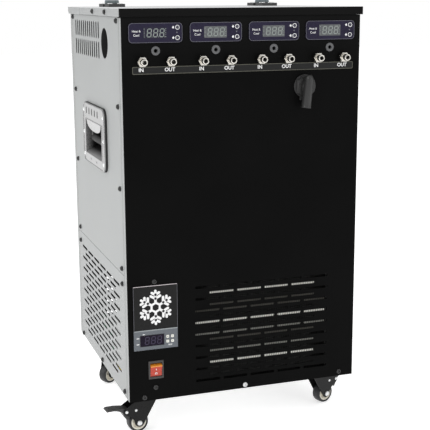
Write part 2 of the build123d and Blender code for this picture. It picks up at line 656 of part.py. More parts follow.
# ---------------------------------------------------------------- side handles
# Each pressed plate stands on a rubber gasket; plate, gasket and cup are one solid here.
dish_t, cup_t, cup_x = 5.0, 1.2, half_w - cup_deep
bail_x, bail_z, bail_pin_r = half_w - 9.5, base_z + 436.5, 2.5
grip_z, grip_r = base_z + 411.0, 7.0
cup_profile = [
    (half_w + dish_t, cup_low),
    (cup_x, cup_low + 12),
    (cup_x, cup_high),
    (half_w + dish_t, cup_high),
]
cup_outside = [
    (half_w + 0.2, cup_low - 1.2),
    (cup_x - cup_t, cup_low + 11),
    (cup_x - cup_t, cup_high + cup_t),
    (half_w + 0.2, cup_high + cup_t),
]
with BuildPart() as handle_dishes:
    plate_plane = Plane(origin=(-half_w, 0, handle_z), x_dir=(0, 1, 0), z_dir=(1, 0, 0))
    with BuildSketch(plate_plane) as plate:
        RectangleRounded(dish_w, dish_h, 16)
    extrude(plate.sketch, amount=-dish_t)
    with BuildSketch(Plane.XZ.offset(-cup_w / 2 - cup_t)) as outside:
        with BuildLine():
            Polyline(*[(-x, z) for x, z in cup_outside], close=True)
        make_face()
    extrude(outside.sketch, amount=cup_w + 2 * cup_t)
    with BuildSketch(Plane.XZ.offset(-cup_w / 2)) as inside:
        with BuildLine():
            Polyline(*[(-x, z) for x, z in cup_profile], close=True)
        make_face()
    extrude(inside.sketch, amount=cup_w, mode=Mode.SUBTRACT)
    rod((-bail_x, -cup_w, bail_z), (-bail_x, cup_w, bail_z), bail_pin_r + running_fit, Mode.SUBTRACT)
    with BuildSketch(plate_plane) as holes:
        for y in (-45.0, -22.5, 0.0, 22.5, 45.0):
            with Locations((y + 12, 40)):
                SlotOverall(10, 4.5, rotation=90)
        with Locations((-19, -44), (28, -44)):
            Circle(2.2)
    extrude(holes.sketch, amount=-dish_t, mode=Mode.SUBTRACT)
    for y in (-77, 77):
        for dz in (-40, 0, 40):
            seat = (-half_w - dish_t, y, handle_z + dz)
            pan_screw(seat, (-1, 0, 0), head_r=3.2, head_h=1.7, shank_r=1.5, shank=0.6)
    mirror(about=Plane.YZ)
handle_dishes.part.label = "handle_dishes"
export_step(handle_dishes.part, "parts/handle_dishes.step")

arm_in, arm_out = 58.0, 62.0
for side, name in ((-1, "handle_left"), (1, "handle_right")):
    with BuildPart() as bail:
        for end in (-1, 1):
            near, far = end * arm_in, end * arm_out
            plane = Plane(origin=(0, min(near, far), 0), x_dir=(1, 0, 0), z_dir=(0, 1, 0))
            with BuildSketch(plane) as arm:
                with Locations((side * bail_x, -(bail_z + grip_z) / 2)):
                    SlotCenterToCenter(bail_z - grip_z, 9, rotation=90)
            extrude(arm.sketch, amount=arm_out - arm_in)
            pin_end = end * (cup_w / 2 + cup_t + 1)
            rod((side * bail_x, far, bail_z), (side * bail_x, pin_end, bail_z), bail_pin_r)
        rod((side * bail_x, -arm_in, grip_z), (side * bail_x, arm_in, grip_z), grip_r)
    bail.part.label = name
    export_step(bail.part, f"parts/{name}.step")

# ---------------------------------------------------------------- lid and hinges
hinge_x, hinge_w, leaf_t, barrel_r, hinge_pin_r = 146.0, 30.0, 5.5, 6.0, 2.5
hinge_y, hinge_z = lid_seam - 0.2, lid_top + barrel_r + gap
knuckle, barrel_w = 6.0, 24.0

with BuildPart() as lid:
    block((-half_w - lid_over, front_y, top_z + gap), (half_w + lid_over, lid_seam - 0.4, lid_top))
    block(
        (-half_w - lid_over + sheet, front_y + sheet, top_z - 1),
        (half_w + lid_over - sheet, lid_seam - 0.4 - sheet, lid_top - sheet),
        Mode.SUBTRACT,
    )
lid.part.label = "lid"
export_step(lid.part, "parts/lid.step")

with BuildPart() as lid_trim:
    block((-half_w - lid_over, front_y - lid_front, top_z + gap), (half_w + lid_over, front_y, lid_top))
    fillet(lid_trim.edges().filter_by(Axis.X).sort_by(Axis.Y)[:2], 0.8)
lid_trim.part.label = "lid_trim"
export_step(lid_trim.part, "parts/lid_trim.step")

plug_low = top_z - 12.0
with BuildPart() as lid_insulation:
    block(
        (-half_w - lid_over + sheet, front_y + sheet, top_z + 2.2),
        (half_w + lid_over - sheet, lid_seam - 0.4 - sheet, lid_top - sheet),
    )
    block((-tank_x + 5, tank_front + 6, plug_low), (tank_x - 5, tank_back - 5, top_z + 3))
lid_insulation.part.label = "lid_insulation"
export_step(lid_insulation.part, "parts/lid_insulation.step")


def hinge_leaf(x, side):
    """One leaf with its barrel web: side -1 lies on the lid, side 1 on the rear strip."""
    near, far = sorted((hinge_y + side * 6.6, hinge_y + side * 40.0))
    block((x - hinge_w / 2, near, lid_top), (x + hinge_w / 2, far, lid_top + leaf_t))


def knuckle_barrel(x, low, high, side, bore):
    """A barrel knuckle from low to high, its web to the leaf, and its bore."""
    rod((x + low, hinge_y, hinge_z), (x + high, hinge_y, hinge_z), barrel_r)
    near, far = sorted((hinge_y, hinge_y + side * 7.0))
    block((x + low, near, lid_top + 1.0), (x + high, far, lid_top + leaf_t))
    rod((x + low - 1, hinge_y, hinge_z), (x + high + 1, hinge_y, hinge_z), bore, Mode.SUBTRACT)


half_barrel = barrel_w / 2
inner_knuckle = half_barrel - knuckle
with BuildPart() as hinge_lid_leaves:
    for x in (-hinge_x, hinge_x):
        hinge_leaf(x, -1)
        knuckle_barrel(x, -inner_knuckle + gap, inner_knuckle - gap, -1, hinge_pin_r + running_fit)
hinge_lid_leaves.part.label = "hinge_lid_leaves"
export_step(hinge_lid_leaves.part, "parts/hinge_lid_leaves.step")

with BuildPart() as hinge_base_leaves:
    for x in (-hinge_x, hinge_x):
        hinge_leaf(x, 1)
        knuckle_barrel(x, -half_barrel, -inner_knuckle, 1, hinge_pin_r + 0.02)
        knuckle_barrel(x, inner_knuckle, half_barrel, 1, hinge_pin_r + 0.02)
        rod((x - half_barrel, hinge_y, hinge_z), (x + half_barrel, hinge_y, hinge_z), hinge_pin_r)
hinge_base_leaves.part.label = "hinge_base_leaves"
export_step(hinge_base_leaves.part, "parts/hinge_base_leaves.step")

# ---------------------------------------------------------------- screws
with BuildPart() as panel_screws:
    for y, z in side_screws + grille_screws:
        for side in (-1, 1):
            pan_screw((side * half_w, y, z), (side, 0, 0))
    for x, z in front_screws:
        pan_screw((x, front_y, z), (0, -1, 0))
    for x, z in rear_screws:
        pan_screw((x, rear_y, z), (0, 1, 0))
panel_screws.part.label = "panel_screws"
export_step(panel_screws.part, "parts/panel_screws.step")

# ---------------------------------------------------------------- casters
plate_w, plate_t, bolt_gap, race_r, race_h = 54.0, 2.5, 42.0, 15.0, 4.5
crown_r, crown_t, crown_top = 20.0, 2.5, plate_top - plate_t - race_h - 0.3
kingpin_r, axle_r, leg_t = 4.0, 3.0, 2.2
leg_in = wheel_w / 2 + 1.0
leg_out = leg_in + leg_t
tyre_in = 13.5
brake_along, brake_up, rivet_along, rivet_up, brake_pin_r = 23.0, 23.5, 6.0, 24.0, 2.2

with BuildPart() as caster_plates:
    for x, y, angle in swivels.values():
        block(
            (x - plate_w / 2, y - plate_w / 2, plate_top - plate_t),
            (x + plate_w / 2, y + plate_w / 2, plate_top),
        )
        rod((x, y, plate_top - plate_t), (x, y, plate_top - plate_t - race_h), race_r)
        rod((x, y, plate_top - plate_t), (x, y, crown_top - crown_t - 2.3), kingpin_r)
        rod((x, y, crown_top - crown_t - 0.3), (x, y, crown_top - crown_t - 2.3), kingpin_r + 2)
        for dx in (-bolt_gap / 2, bolt_gap / 2):
            for dy in (-bolt_gap / 2, bolt_gap / 2):
                hexagon((x + dx, y + dy, plate_top - plate_t), (x + dx, y + dy, plate_top - plate_t - 4), 9)
caster_plates.part.label = "caster_plates"
export_step(caster_plates.part, "parts/caster_plates.step")


def swivel_plane(x, y, angle):
    """A plane through the axle's height whose X runs from the swivel axis towards the wheel."""
    turn = math.radians(angle)
    return Plane(origin=(x, y, wheel_r), x_dir=(math.cos(turn), math.sin(turn), 0), z_dir=(0, 0, 1))


def caster_points(x, y, angle):
    """A function that turns (along, across, up) at a caster into frame coordinates."""
    frame = swivel_plane(x, y, angle)
    return lambda along, across, up: tuple(frame.from_local_coords((along, across, up)))


def caster_fork(x, y, angle, braked):
    """A pressed fork: crown disc, two legs, the axle with its nut and, if braked, the brake pin."""
    place = caster_points(x, y, angle)
    crown_up = crown_top - wheel_r
    rod(place(0, 0, crown_up - crown_t), place(0, 0, crown_up), crown_r)
    base = swivel_plane(x, y, angle)
    leg_plane = Plane(origin=place(0, 0, 0), x_dir=base.x_dir, z_dir=-base.y_dir)
    reach = trail + brake_along + 4 if braked else trail + 6
    rise = brake_up + 3 if braked else crown_up - 12
    for side in (-1, 1):
        start = leg_plane.offset(side * (leg_in + leg_t / 2) - leg_t / 2)
        with BuildSketch(start) as leg:
            with BuildLine():
                Polyline(
                    (-15.5, crown_up - 0.6),
                    (18, crown_up - 0.6),
                    (reach, rise),
                    (reach, rise - 6.5),
                    (trail + 9.5, 8),
                    (trail + 6, -6),
                    (trail - 6, -6),
                    (trail - 15.5, 10),
                    close=True,
                )
            make_face()
        extrude(leg.sketch, amount=leg_t)
    ends = leg_out + 3.5
    rod(place(trail, -leg_out, 0), place(trail, leg_out, 0), axle_r)
    hexagon(place(trail, leg_out, 0), place(trail, ends, 0), 9.5)
    hexagon(place(trail, -leg_out, 0), place(trail, -ends, 0), 9.5)
    if braked:
        pin = trail + brake_along
        rod(place(pin, -leg_out - 1.2, brake_up), place(pin, leg_out + 1.2, brake_up), brake_pin_r)
        rivet = trail + rivet_along
        rod(place(rivet, -leg_out - 1.2, rivet_up), place(rivet, leg_out + 1.2, rivet_up), brake_pin_r)
    rod(place(0, 0, crown_up - 8), place(0, 0, crown_up + 2), kingpin_r + running_fit, Mode.SUBTRACT)


def caster_wheel(x, y, angle):
    """A hard core on the axle and a soft tyre around it."""
    place = caster_points(x, y, angle)
    half = wheel_w / 2
    rod(place(trail, -half, 0), place(trail, half, 0), wheel_r)
    for side in (-1, 1):
        rod(
            place(trail, side * (half + 1), 0),
            place(trail, side * (half - 1.2), 0),
            tyre_in - 1.8,
            Mode.SUBTRACT,
        )
        rod(place(trail, side * (half - 1.5), 0), place(trail, side * (half + 0.6), 0), 6)
    rod(place(trail, -half - 2, 0), place(trail, half + 2, 0), axle_r + running_fit, Mode.SUBTRACT)


def brake_pedal(x, y, angle):
    """A foot pedal on the brake pin, with the shoe that it presses on the tyre."""
    place = caster_points(x, y, angle)
    base = swivel_plane(x, y, angle)
    half = leg_in - 0.5
    pin = trail + brake_along
    start = Plane(origin=place(0, half, 0), x_dir=base.x_dir, z_dir=-base.y_dir)
    with BuildSketch(start) as side_view:
        with BuildLine():
            Polyline(
                (pin - 5, brake_up + 4),
                (pin + 5, brake_up + 6.5),
                (pin + 20, brake_up + 9),
                (pin + 34, brake_up + 8),
                (pin + 35, brake_up + 4),
                (pin + 22, brake_up + 4.5),
                (pin + 7, brake_up),
                (pin + 4.5, brake_up - 7),
                (pin - 1, brake_up - 15.5),
                (pin - 6.4, brake_up - 13.2),
                (pin - 6.4, brake_up - 2),
                close=True,
            )
        make_face()
    extrude(side_view.sketch, amount=2 * half)
    rod(
        place(pin, -half - 1, brake_up),
        place(pin, half + 1, brake_up),
        brake_pin_r + running_fit,
        Mode.SUBTRACT,
    )


for corner, (x, y, angle) in swivels.items():
    braked = corner.startswith("front")
    with BuildPart() as fork:
        caster_fork(x, y, angle, braked)
    fork.part.label = f"fork_{corner}"
    export_step(fork.part, f"parts/fork_{corner}.step")
    with BuildPart() as wheel:
        caster_wheel(x, y, angle)
    wheel.part.label = f"wheel_{corner}"
    export_step(wheel.part, f"parts/wheel_{corner}.step")
    if braked:
        with BuildPart() as pedal:
            brake_pedal(x, y, angle)
        pedal.part.label = f"brake_{corner}"
        export_step(pedal.part, f"parts/brake_{corner}.step")
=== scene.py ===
"""Looks for the four-zone glycol chiller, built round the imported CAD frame. Everything is in metres."""

import json
import math

import bpy
import numpy as np
from mathutils import Matrix, Vector


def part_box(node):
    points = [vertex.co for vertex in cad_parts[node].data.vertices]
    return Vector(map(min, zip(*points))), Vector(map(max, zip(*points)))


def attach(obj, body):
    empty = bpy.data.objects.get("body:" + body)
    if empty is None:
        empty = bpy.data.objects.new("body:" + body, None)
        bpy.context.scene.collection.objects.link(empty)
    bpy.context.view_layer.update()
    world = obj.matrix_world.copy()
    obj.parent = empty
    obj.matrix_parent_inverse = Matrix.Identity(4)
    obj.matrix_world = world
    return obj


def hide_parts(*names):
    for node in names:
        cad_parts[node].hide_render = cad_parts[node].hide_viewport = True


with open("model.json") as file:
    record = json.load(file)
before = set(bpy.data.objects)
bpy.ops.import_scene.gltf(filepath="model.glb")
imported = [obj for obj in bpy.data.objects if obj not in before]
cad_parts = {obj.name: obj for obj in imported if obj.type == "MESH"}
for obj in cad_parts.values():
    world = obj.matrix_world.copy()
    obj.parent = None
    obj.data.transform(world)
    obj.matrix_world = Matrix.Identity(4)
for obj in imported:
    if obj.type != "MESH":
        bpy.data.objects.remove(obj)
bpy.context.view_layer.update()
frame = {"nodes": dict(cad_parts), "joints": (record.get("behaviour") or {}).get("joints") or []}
nodes = frame["nodes"]
joints = {joint["child"]: joint for joint in frame["joints"]}
MM = 0.001
X, Y, Z = Vector((1, 0, 0)), Vector((0, 1, 0)), Vector((0, 0, 1))
CORNERS = ("front_left", "front_right", "rear_left", "rear_right")
MIX_A, MIX_B, MIX_OUT = 6, 7, 2  # the colour sockets of a Mix node
HOOD_T, BLADE_T, GRIP_R, ICON_HALF = 1.2 * MM, 1.4 * MM, 7 * MM, 0.9 * MM
LEG_IN, LEG_T = 9.5, 2.2
LEG_OUT = LEG_IN + LEG_T
PIN_AHEAD, PIN_UP = 23, 23.5  # the brake's pin, from the axle, in millimetres


# ---------------------------------------------------------------- reading the frame
def mm(outline):
    """Points given in millimetres, in metres."""
    return [tuple(number * MM for number in point) for point in outline]


def centre(node):
    """The middle of a node's box."""
    low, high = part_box(node)
    return (low + high) / 2


def islands(node):
    """The boxes of a node's separate solids, as (lowest, highest) corners."""
    mesh = nodes[node].data
    spots, owner = {}, []
    for vertex in mesh.vertices:
        key = tuple(round(c * 1e5) for c in vertex.co)
        owner.append(spots.setdefault(key, len(spots)))
    parent = list(range(len(spots)))

    def top(item):
        while parent[item] != item:
            parent[item] = parent[parent[item]]
            item = parent[item]
        return item

    for edge in mesh.edges:
        a, b = (top(owner[v]) for v in edge.vertices)
        parent[a] = b
    groups = {}
    for vertex in mesh.vertices:
        groups.setdefault(top(owner[vertex.index]), []).append(vertex.co)
    boxes = []
    for points in groups.values():
        cloud = np.array(points)
        boxes.append((Vector(cloud.min(0)), Vector(cloud.max(0))))
    return sorted(boxes, key=lambda b: (round(b[0].x, 4), round(b[0].z, 4), round(b[0].y, 4)))


# ---------------------------------------------------------------- mesh shapes
class Shape:
    """A growing list of corners and faces; each face remembers its material's number."""

    def __init__(self):
        self.points, self.faces, self.finish = [], [], []

    def add(self, points, faces, finish=0):
        start = len(self.points)
        self.points += [Vector(p) for p in points]
        self.faces += [tuple(start + i for i in face) for face in faces]
        self.finish += [finish] * len(faces)
        return self

    def box(self, low, high, finish=0):
        low, high = Vector(low), Vector(high)
        corners = [(x, y, z) for x in (low.x, high.x) for y in (low.y, high.y) for z in (low.z, high.z)]
        faces = [(0, 1, 3, 2), (4, 6, 7, 5), (0, 4, 5, 1), (2, 3, 7, 6), (0, 2, 6, 4), (1, 5, 7, 3)]
        return self.add(corners, faces, finish)

    def lathe(self, profile, origin, axis, steps=40, finish=0):
        """Turns a profile of (radius, height) points about an axis through the origin point."""
        axis = Vector(axis).normalized()
        side = axis.orthogonal().normalized()
        other = axis.cross(side)
        origin = Vector(origin)
        points, faces, rings = [], [], []
        for radius, height in profile:
            rings.append(len(points))
            if radius < 1e-7:
                points.append(origin + axis * height)
                continue
            for step in range(steps):
                turn = 2 * math.pi * step / steps
                out = side * math.cos(turn) + other * math.sin(turn)
                points.append(origin + axis * height + out * radius)
        for level in range(len(profile) - 1):
            a, b = rings[level], rings[level + 1]
            flat_a, flat_b = profile[level][0] < 1e-7, profile[level + 1][0] < 1e-7
            for step in range(steps):
                after = (step + 1) % steps
                if flat_a and flat_b:
                    continue
                if flat_a:
                    faces.append((a, b + after, b + step))
                elif flat_b:
                    faces.append((a + step, a + after, b))
                else:
                    faces.append((a + step, a + after, b + after, b + step))
        return self.add(points, faces, finish)

    def prism(self, outline, origin, x_dir, y_dir, depth, finish=0):
        """A flat outline in the plane of x_dir and y_dir, pushed along their normal."""
        x_dir, y_dir, origin = Vector(x_dir), Vector(y_dir), Vector(origin)
        normal = x_dir.cross(y_dir)
        count = len(outline)
        base = [origin + x_dir * u + y_dir * v for u, v in outline]
        points = base + [p + normal * depth for p in base]
        faces = [tuple(reversed(range(count))), tuple(range(count, 2 * count))]
        for i in range(count):
            j = (i + 1) % count
            faces.append((i, j, count + j, count + i))
        return self.add(points, faces, finish)

    def ring(self, outer, inner, origin, x_dir, y_dir, depth, finish=0):
        """The band between two outlines with the same number of points, pushed along the normal."""
        x_dir, y_dir, origin = Vector(x_dir), Vector(y_dir), Vector(origin)
        normal = x_dir.cross(y_dir)
        count = len(outer)
        points = []
        for outline in (outer, inner):
            base = [origin + x_dir * u + y_dir * v for u, v in outline]
            points += base + [p + normal * depth for p in base]
        faces = []
        low_out, high_out, low_in, high_in = (k * count for k in range(4))
        for i in range(count):
            j = (i + 1) % count
            faces.append((low_out + i, low_out + j, high_out + j, high_out + i))
            faces.append((low_in + j, low_in + i, high_in + i, high_in + j))
            faces.append((high_out + i, high_out + j, high_in + j, high_in + i))
            faces.append((low_out + j, low_out + i, low_in + i, low_in + j))
        return self.add(points, faces, finish)

    def tube(self, path, radius, steps=14, closed=False, finish=0):
        """A round bar along a list of points; radius is a number or one number per point."""
        path = [Vector(p) for p in path]
        count = len(path)
        radii = radius if isinstance(radius, (list, tuple)) else [radius] * count
        points, faces = [], []
        side = None
        for i, spot in enumerate(path):
            before = path[i - 1] if i or closed else spot
            after = path[(i + 1) % count] if i < count - 1 or closed else spot
            run = (after - before).normalized()
            side = run.orthogonal() if side is None else side - run * side.dot(run)
            side.normalize()
            other = run.cross(side)
            for step in range(steps):
                turn = 2 * math.pi * step / steps
                points.append(spot + (side * math.cos(turn) + other * math.sin(turn)) * radii[i])
        spans = count if closed else count - 1
        for i in range(spans):
            a, b = i * steps, (i + 1) % count * steps
            for step in range(steps):
                after = (step + 1) % steps
                faces.append((a + step, a + after, b + after, b + step))
        if not closed:
            faces.append(tuple(reversed(range(steps))))
            faces.append(tuple(range((count - 1) * steps, count * steps)))
        return self.add(points, faces, finish)

    def slab(self, points, columns, rows, offset):
        """A grid of points as a closed sheet, with its back at an offset from its front."""
        stride, count = rows + 1, len(points)
        faces = []
        for column in range(columns):
            for row in range(rows):
                a = column * stride + row
                faces.append((a, a + 1, a + stride + 1, a + stride))
        faces += [tuple(count + i for i in reversed(face)) for face in faces]
        border = (
            [c * stride for c in range(columns + 1)]
            + [columns * stride + r for r in range(1, stride)]
            + [c * stride + rows for c in reversed(range(columns))]
            + [r for r in reversed(range(1, rows))]
        )
        for i, a in enumerate(border):
            b = border[(i + 1) % len(border)]
            faces.append((a, b, count + b, count + a))
        points = [Vector(p) for p in points]
        return self.add(points + [p + Vector(offset) for p in points], faces)


def rounded(width, height, radius, steps=6):
    """A rounded rectangle's outline about its middle, from millimetres."""
    outline = []
    for corner, (sx, sy) in enumerate(((1, 1), (-1, 1), (-1, -1), (1, -1))):
        for step in range(steps + 1):
            turn = math.pi / 2 * (corner + step / steps)
            x = sx * (width / 2 - radius) + radius * math.cos(turn)
            outline.append((x, sy * (height / 2 - radius) + radius * math.sin(turn)))
    return mm(outline)


def circle(radius, steps=40):
    """A circle's outline, from millimetres."""
    turns = [2 * math.pi * step / steps for step in range(steps)]
    return mm([(radius * math.cos(t), radius * math.sin(t)) for t in turns])


def polar(turn):
    """The direction at an angle, in a plane."""
    return Vector((math.cos(turn), math.sin(turn)))


def capsule(start, end, radius, steps=10):
    """A straight stroke with round ends, as an outline from millimetres."""
    lean = math.atan2(end[1] - start[1], end[0] - start[0])
    outline = []
    for spot, base in ((end, lean - math.pi / 2), (start, lean + math.pi / 2)):
        for step in range(steps + 1):
            turn = base + math.pi * step / steps
            outline.append((spot[0] + radius * math.cos(turn), spot[1] + radius * math.sin(turn)))
    return mm(outline)


def make(name, shape, finishes, body, replaces=(), bevel=0.0, segments=2, sharp=35):
    """Turns a shape into a piece that rides on a body."""
    mesh = bpy.data.meshes.new(name)
    mesh.from_pydata([tuple(p) for p in shape.points], [], shape.faces)
    for finish in finishes if isinstance(finishes, (list, tuple)) else [finishes]:
        mesh.materials.append(finish)
    for face, number in zip(mesh.polygons, shape.finish):
        face.material_index = number
        face.use_smooth = True
    mesh.validate()
    mesh.update()
    mesh.set_sharp_from_angle(angle=math.radians(sharp))
    piece = bpy.data.objects.new(name, mesh)
    bpy.context.scene.collection.objects.link(piece)
    if bevel:
        add_bevel(piece, bevel, segments)
    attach(piece, body)
    if replaces:
        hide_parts(*replaces)
    return piece


def add_bevel(piece, width, segments=2):
    """Rounds a piece's sharp edges."""
    bevel = piece.modifiers.new("edges", "BEVEL")
    bevel.width = width
    bevel.segments = segments
    bevel.limit_method = "ANGLE"
    bevel.angle_limit = math.radians(35)
    bevel.harden_normals = True


def lettering(words, height, at, x_dir, y_dir, weight):
    """Raised letters in the plane of x_dir and y_dir, as points and faces about a middle point."""
    curve = bpy.data.curves.new("letters", "FONT")
    curve.body = words
    curve.size = height / 0.7
    curve.align_x = "CENTER"
    curve.align_y = "CENTER"
    curve.offset = weight
    curve.extrude = 0.05 * MM
    curve.resolution_u = 6
    holder = bpy.data.objects.new("letters", curve)
    bpy.context.scene.collection.objects.link(holder)
    bpy.context.view_layer.update()
    evaluated = holder.evaluated_get(bpy.context.evaluated_depsgraph_get())
    mesh = bpy.data.meshes.new_from_object(evaluated)
    x_dir, y_dir, at = Vector(x_dir), Vector(y_dir), Vector(at)
    normal = x_dir.cross(y_dir)
    points = [at + x_dir * v.co.x + y_dir * v.co.y + normal * v.co.z for v in mesh.vertices]
    faces = [tuple(face.vertices) for face in mesh.polygons]
    bpy.data.objects.remove(holder)
    bpy.data.curves.remove(curve)
    bpy.data.meshes.remove(mesh)
    return points, faces


# ---------------------------------------------------------------- materials
def shade(colour):
    """A grey given as one number, or a colour as it is."""
    return (colour,) * 3 if isinstance(colour, float) else colour


def add_node(tree, kind, values=None):
    made = tree.nodes.new(f"ShaderNode{kind}")
    for entry, value in (values or {}).items():
        made.inputs[entry].default_value = value
    return made


def link(source, output, target, entry):
    target.id_data.links.new(source.outputs[output], target.inputs[entry])


def ramp_node(tree, low, high, start=0.3, stop=0.7):
    ramp = add_node(tree, "ValToRGB")
    for element, position, colour in zip(ramp.color_ramp.elements, (start, stop), (low, high)):
        element.position = position
        element.color = (*shade(colour), 1)
    return ramp


def surface(
    name, dark, light, rough=(0.4, 0.55), metal=0.0, grain=900.0, bump=0.0, spec=0.5,
    coat=0.0, stretch=(1, 1, 1), patch=9.0, mix=0.5, glow=0.0,
):
    """A finish whose colour and roughness vary with a fine grain and with broad patches."""
    made = bpy.data.materials.new(name)
    made.use_nodes = True
    tree = made.node_tree
    shader = tree.nodes["Principled BSDF"]
    settings = {
        "Metallic": metal, "Specular IOR Level": spec, "Coat Weight": coat, "Coat Roughness": 0.08,
        "Emission Color": (*shade(light), 1), "Emission Strength": glow,
    }
    for entry, value in settings.items():
        shader.inputs[entry].default_value = value
    place = add_node(tree, "TexCoord")
    scale = add_node(tree, "Mapping", {"Scale": stretch})
    fine = add_node(tree, "TexNoise", {"Scale": grain, "Detail": 3.0})
    broad = add_node(tree, "TexNoise", {"Scale": patch, "Detail": 2.0})
    both = add_node(tree, "Mix", {"Factor": mix})
    ramp = ramp_node(tree, dark, light)
    limits = {"From Min": 0.3, "From Max": 0.7, "To Min": rough[0], "To Max": rough[1]}
    spread = add_node(tree, "MapRange", limits)
    link(place, "Object", scale, "Vector")
    link(scale, "Vector", fine, "Vector")
    link(place, "Object", broad, "Vector")
    link(fine, "Fac", both, "A")
    link(broad, "Fac", both, "B")
    link(both, "Result", ramp, "Fac")
    link(ramp, "Color", shader, "Base Color")
    link(both, "Result", spread, "Value")
    link(spread, "Result", shader, "Roughness")
    if bump:
        relief = add_node(tree, "Bump", {"Distance": bump, "Strength": 0.6})
        link(fine, "Fac", relief, "Height")
        link(relief, "Normal", shader, "Normal")
    return made


def zoned(made, axis, edge, colour, width=0.2 * MM, mirror=False, above=True):
    """Paints another colour on one side of a plane across the piece, over its own variation."""
    tree = made.node_tree
    shader = tree.nodes["Principled BSDF"]
    base = shader.inputs["Base Color"].links[0].from_socket
    place = add_node(tree, "TexCoord")
    split = add_node(tree, "SeparateXYZ")
    link(place, "Object", split, "Vector")
    low, high = (edge - width, edge + width) if above else (edge + width, edge - width)
    step = add_node(tree, "MapRange", {"From Min": low, "From Max": high})
    if mirror:
        size = add_node(tree, "Math")
        size.operation = "ABSOLUTE"
        link(split, axis, size, 0)
        link(size, 0, step, "Value")
    else:
        link(split, axis, step, "Value")
    mix = add_node(tree, "Mix")
    mix.data_type = "RGBA"
    link(step, "Result", mix, "Factor")
    tree.links.new(base, mix.inputs[MIX_A])
    mix.inputs[MIX_B].default_value = (*shade(colour), 1)
    link(mix, MIX_OUT, shader, "Base Color")
    return made


# The black panels turn lighter from about 0.625 m up: a painted sheen on their upper part.
black_coat = zoned(
    surface("black_coat", 0.0004, 0.0036, (0.42, 0.6), bump=0.06 * MM, spec=0.05, mix=0.3),
    2, 0.675, 0.0065, 0.05,
)
# Faces nearer the middle than 202.5 mm, inside the cabinet, are painted near-black: painted shade seen
# through the grilles.
side_paint = zoned(
    surface(
        "side_paint", (0.295, 0.303, 0.302), (0.34, 0.35, 0.348), (0.42, 0.52), grain=1200, bump=0.02 * MM,
        spec=0.4,
    ),
    0, 202.5 * MM, 0.02, 0.06 * MM, True, False,
)
# Below the lid's top face, its flanges and the rear strip are painted darker grey: painted shade on the faces
# turned from the light above.
lid_paint = zoned(
    surface(
        "lid_paint", (0.84, 0.85, 0.86), (0.92, 0.93, 0.94), (0.28, 0.4), 0.25, grain=500, stretch=(1, 40, 1)
    ),
    2, 714.7 * MM, (0.40, 0.41, 0.41), 0.1 * MM, False, False,
)
steel = surface("steel", 0.48, 0.62, (0.22, 0.38), 1.0, grain=600, stretch=(30, 1, 1))
pressed_steel = surface("pressed_steel", 0.34, 0.48, (0.22, 0.36), 0.75, grain=700, bump=0.01 * MM)
# Nearer the middle than 200 mm, inside the handle cups, the steel is painted near-black: painted shade in the
# recesses.
dish_steel = zoned(
    surface("dish_steel", 0.32, 0.44, (0.25, 0.4), 0.7, grain=700, bump=0.01 * MM),
    0, 200 * MM, 0.022, 6 * MM, True, False,
)
hinge_steel = zoned(
    surface("hinge_steel", 0.04, 0.065, (0.35, 0.5), 0.3, patch=40),
    2, 720.8 * MM, (0.15, 0.18, 0.19), 0.3 * MM,
)
foam = surface(
    "foam", (0.13, 0.14, 0.15), (0.19, 0.20, 0.21), (0.8, 0.95), grain=700, bump=0.3 * MM, spec=0.2
)
copper = surface("copper", (0.56, 0.24, 0.12), (0.78, 0.42, 0.26), (0.22, 0.4), 1.0, grain=300, patch=20)
enamel = surface("enamel", 0.008, 0.02, (0.45, 0.6), grain=200, spec=0.2)
fin_metal_and_shade = surface(
    "fin_metal_and_shade", (0.018, 0.018, 0.017), (0.034, 0.034, 0.032), (0.4, 0.55), 0.3, grain=500, patch=30
)
# These three fin finishes glow: painted highlights on fin edges where light through the front vents falls,
# bright, middle and dim.
fin_bright = surface("fin_bright", (0.48, 0.47, 0.43), (0.78, 0.77, 0.72), (0.3, 0.45), 0.3, glow=0.5)
fin_middle = surface("fin_middle", (0.20, 0.20, 0.18), (0.36, 0.36, 0.33), (0.3, 0.45), 0.3, glow=0.35)
fin_dim = surface("fin_dim", (0.05, 0.048, 0.042), (0.10, 0.096, 0.085), (0.3, 0.45), 0.3, glow=0.4)
dark_plastic = surface("dark_plastic", 0.012, 0.024, (0.35, 0.5), bump=0.02 * MM, spec=0.4)
clear_hose = surface("clear_hose", (0.55, 0.58, 0.56), (0.72, 0.75, 0.72), (0.2, 0.35), grain=300)
nickel = surface("nickel", (0.62, 0.59, 0.54), (0.90, 0.88, 0.83), (0.12, 0.22), 1.0, grain=500, patch=60)
zinc = surface("zinc", (0.55, 0.56, 0.56), (0.85, 0.86, 0.86), (0.2, 0.36), 0.9, patch=80)
black_oxide = surface("black_oxide", 0.008, 0.022, (0.25, 0.4), 0.3, grain=1200, spec=0.6)
grey_rubber = surface(
    "grey_rubber", (0.085, 0.086, 0.09), (0.12, 0.121, 0.126), (0.5, 0.65), grain=1300, bump=0.02 * MM
)
overlay = surface(
    "overlay", (0.009, 0.007, 0.022), (0.016, 0.013, 0.036), (0.18, 0.28), grain=300, patch=14, spec=0.25
)
lcd_dark = surface("lcd_dark", (0.016, 0.014, 0.030), (0.024, 0.022, 0.038), (0.12, 0.2), spec=0.25)
lcd_grey = surface("lcd_grey", (0.075, 0.08, 0.085), (0.115, 0.12, 0.125), (0.2, 0.3), patch=60)
segment_grey = surface(
    "segment_grey", (0.19, 0.22, 0.21), (0.28, 0.31, 0.29), (0.3, 0.4), grain=1200, patch=90
)
ink_white = surface("ink_white", 0.72, 0.88, (0.4, 0.5), grain=2000)
ink_faint = surface("ink_faint", (0.10, 0.10, 0.12), (0.16, 0.16, 0.18), (0.4, 0.5), grain=2000)
strip_line = surface("strip_line", (0.085, 0.083, 0.062), (0.12, 0.117, 0.09), (0.35, 0.5), grain=1500)
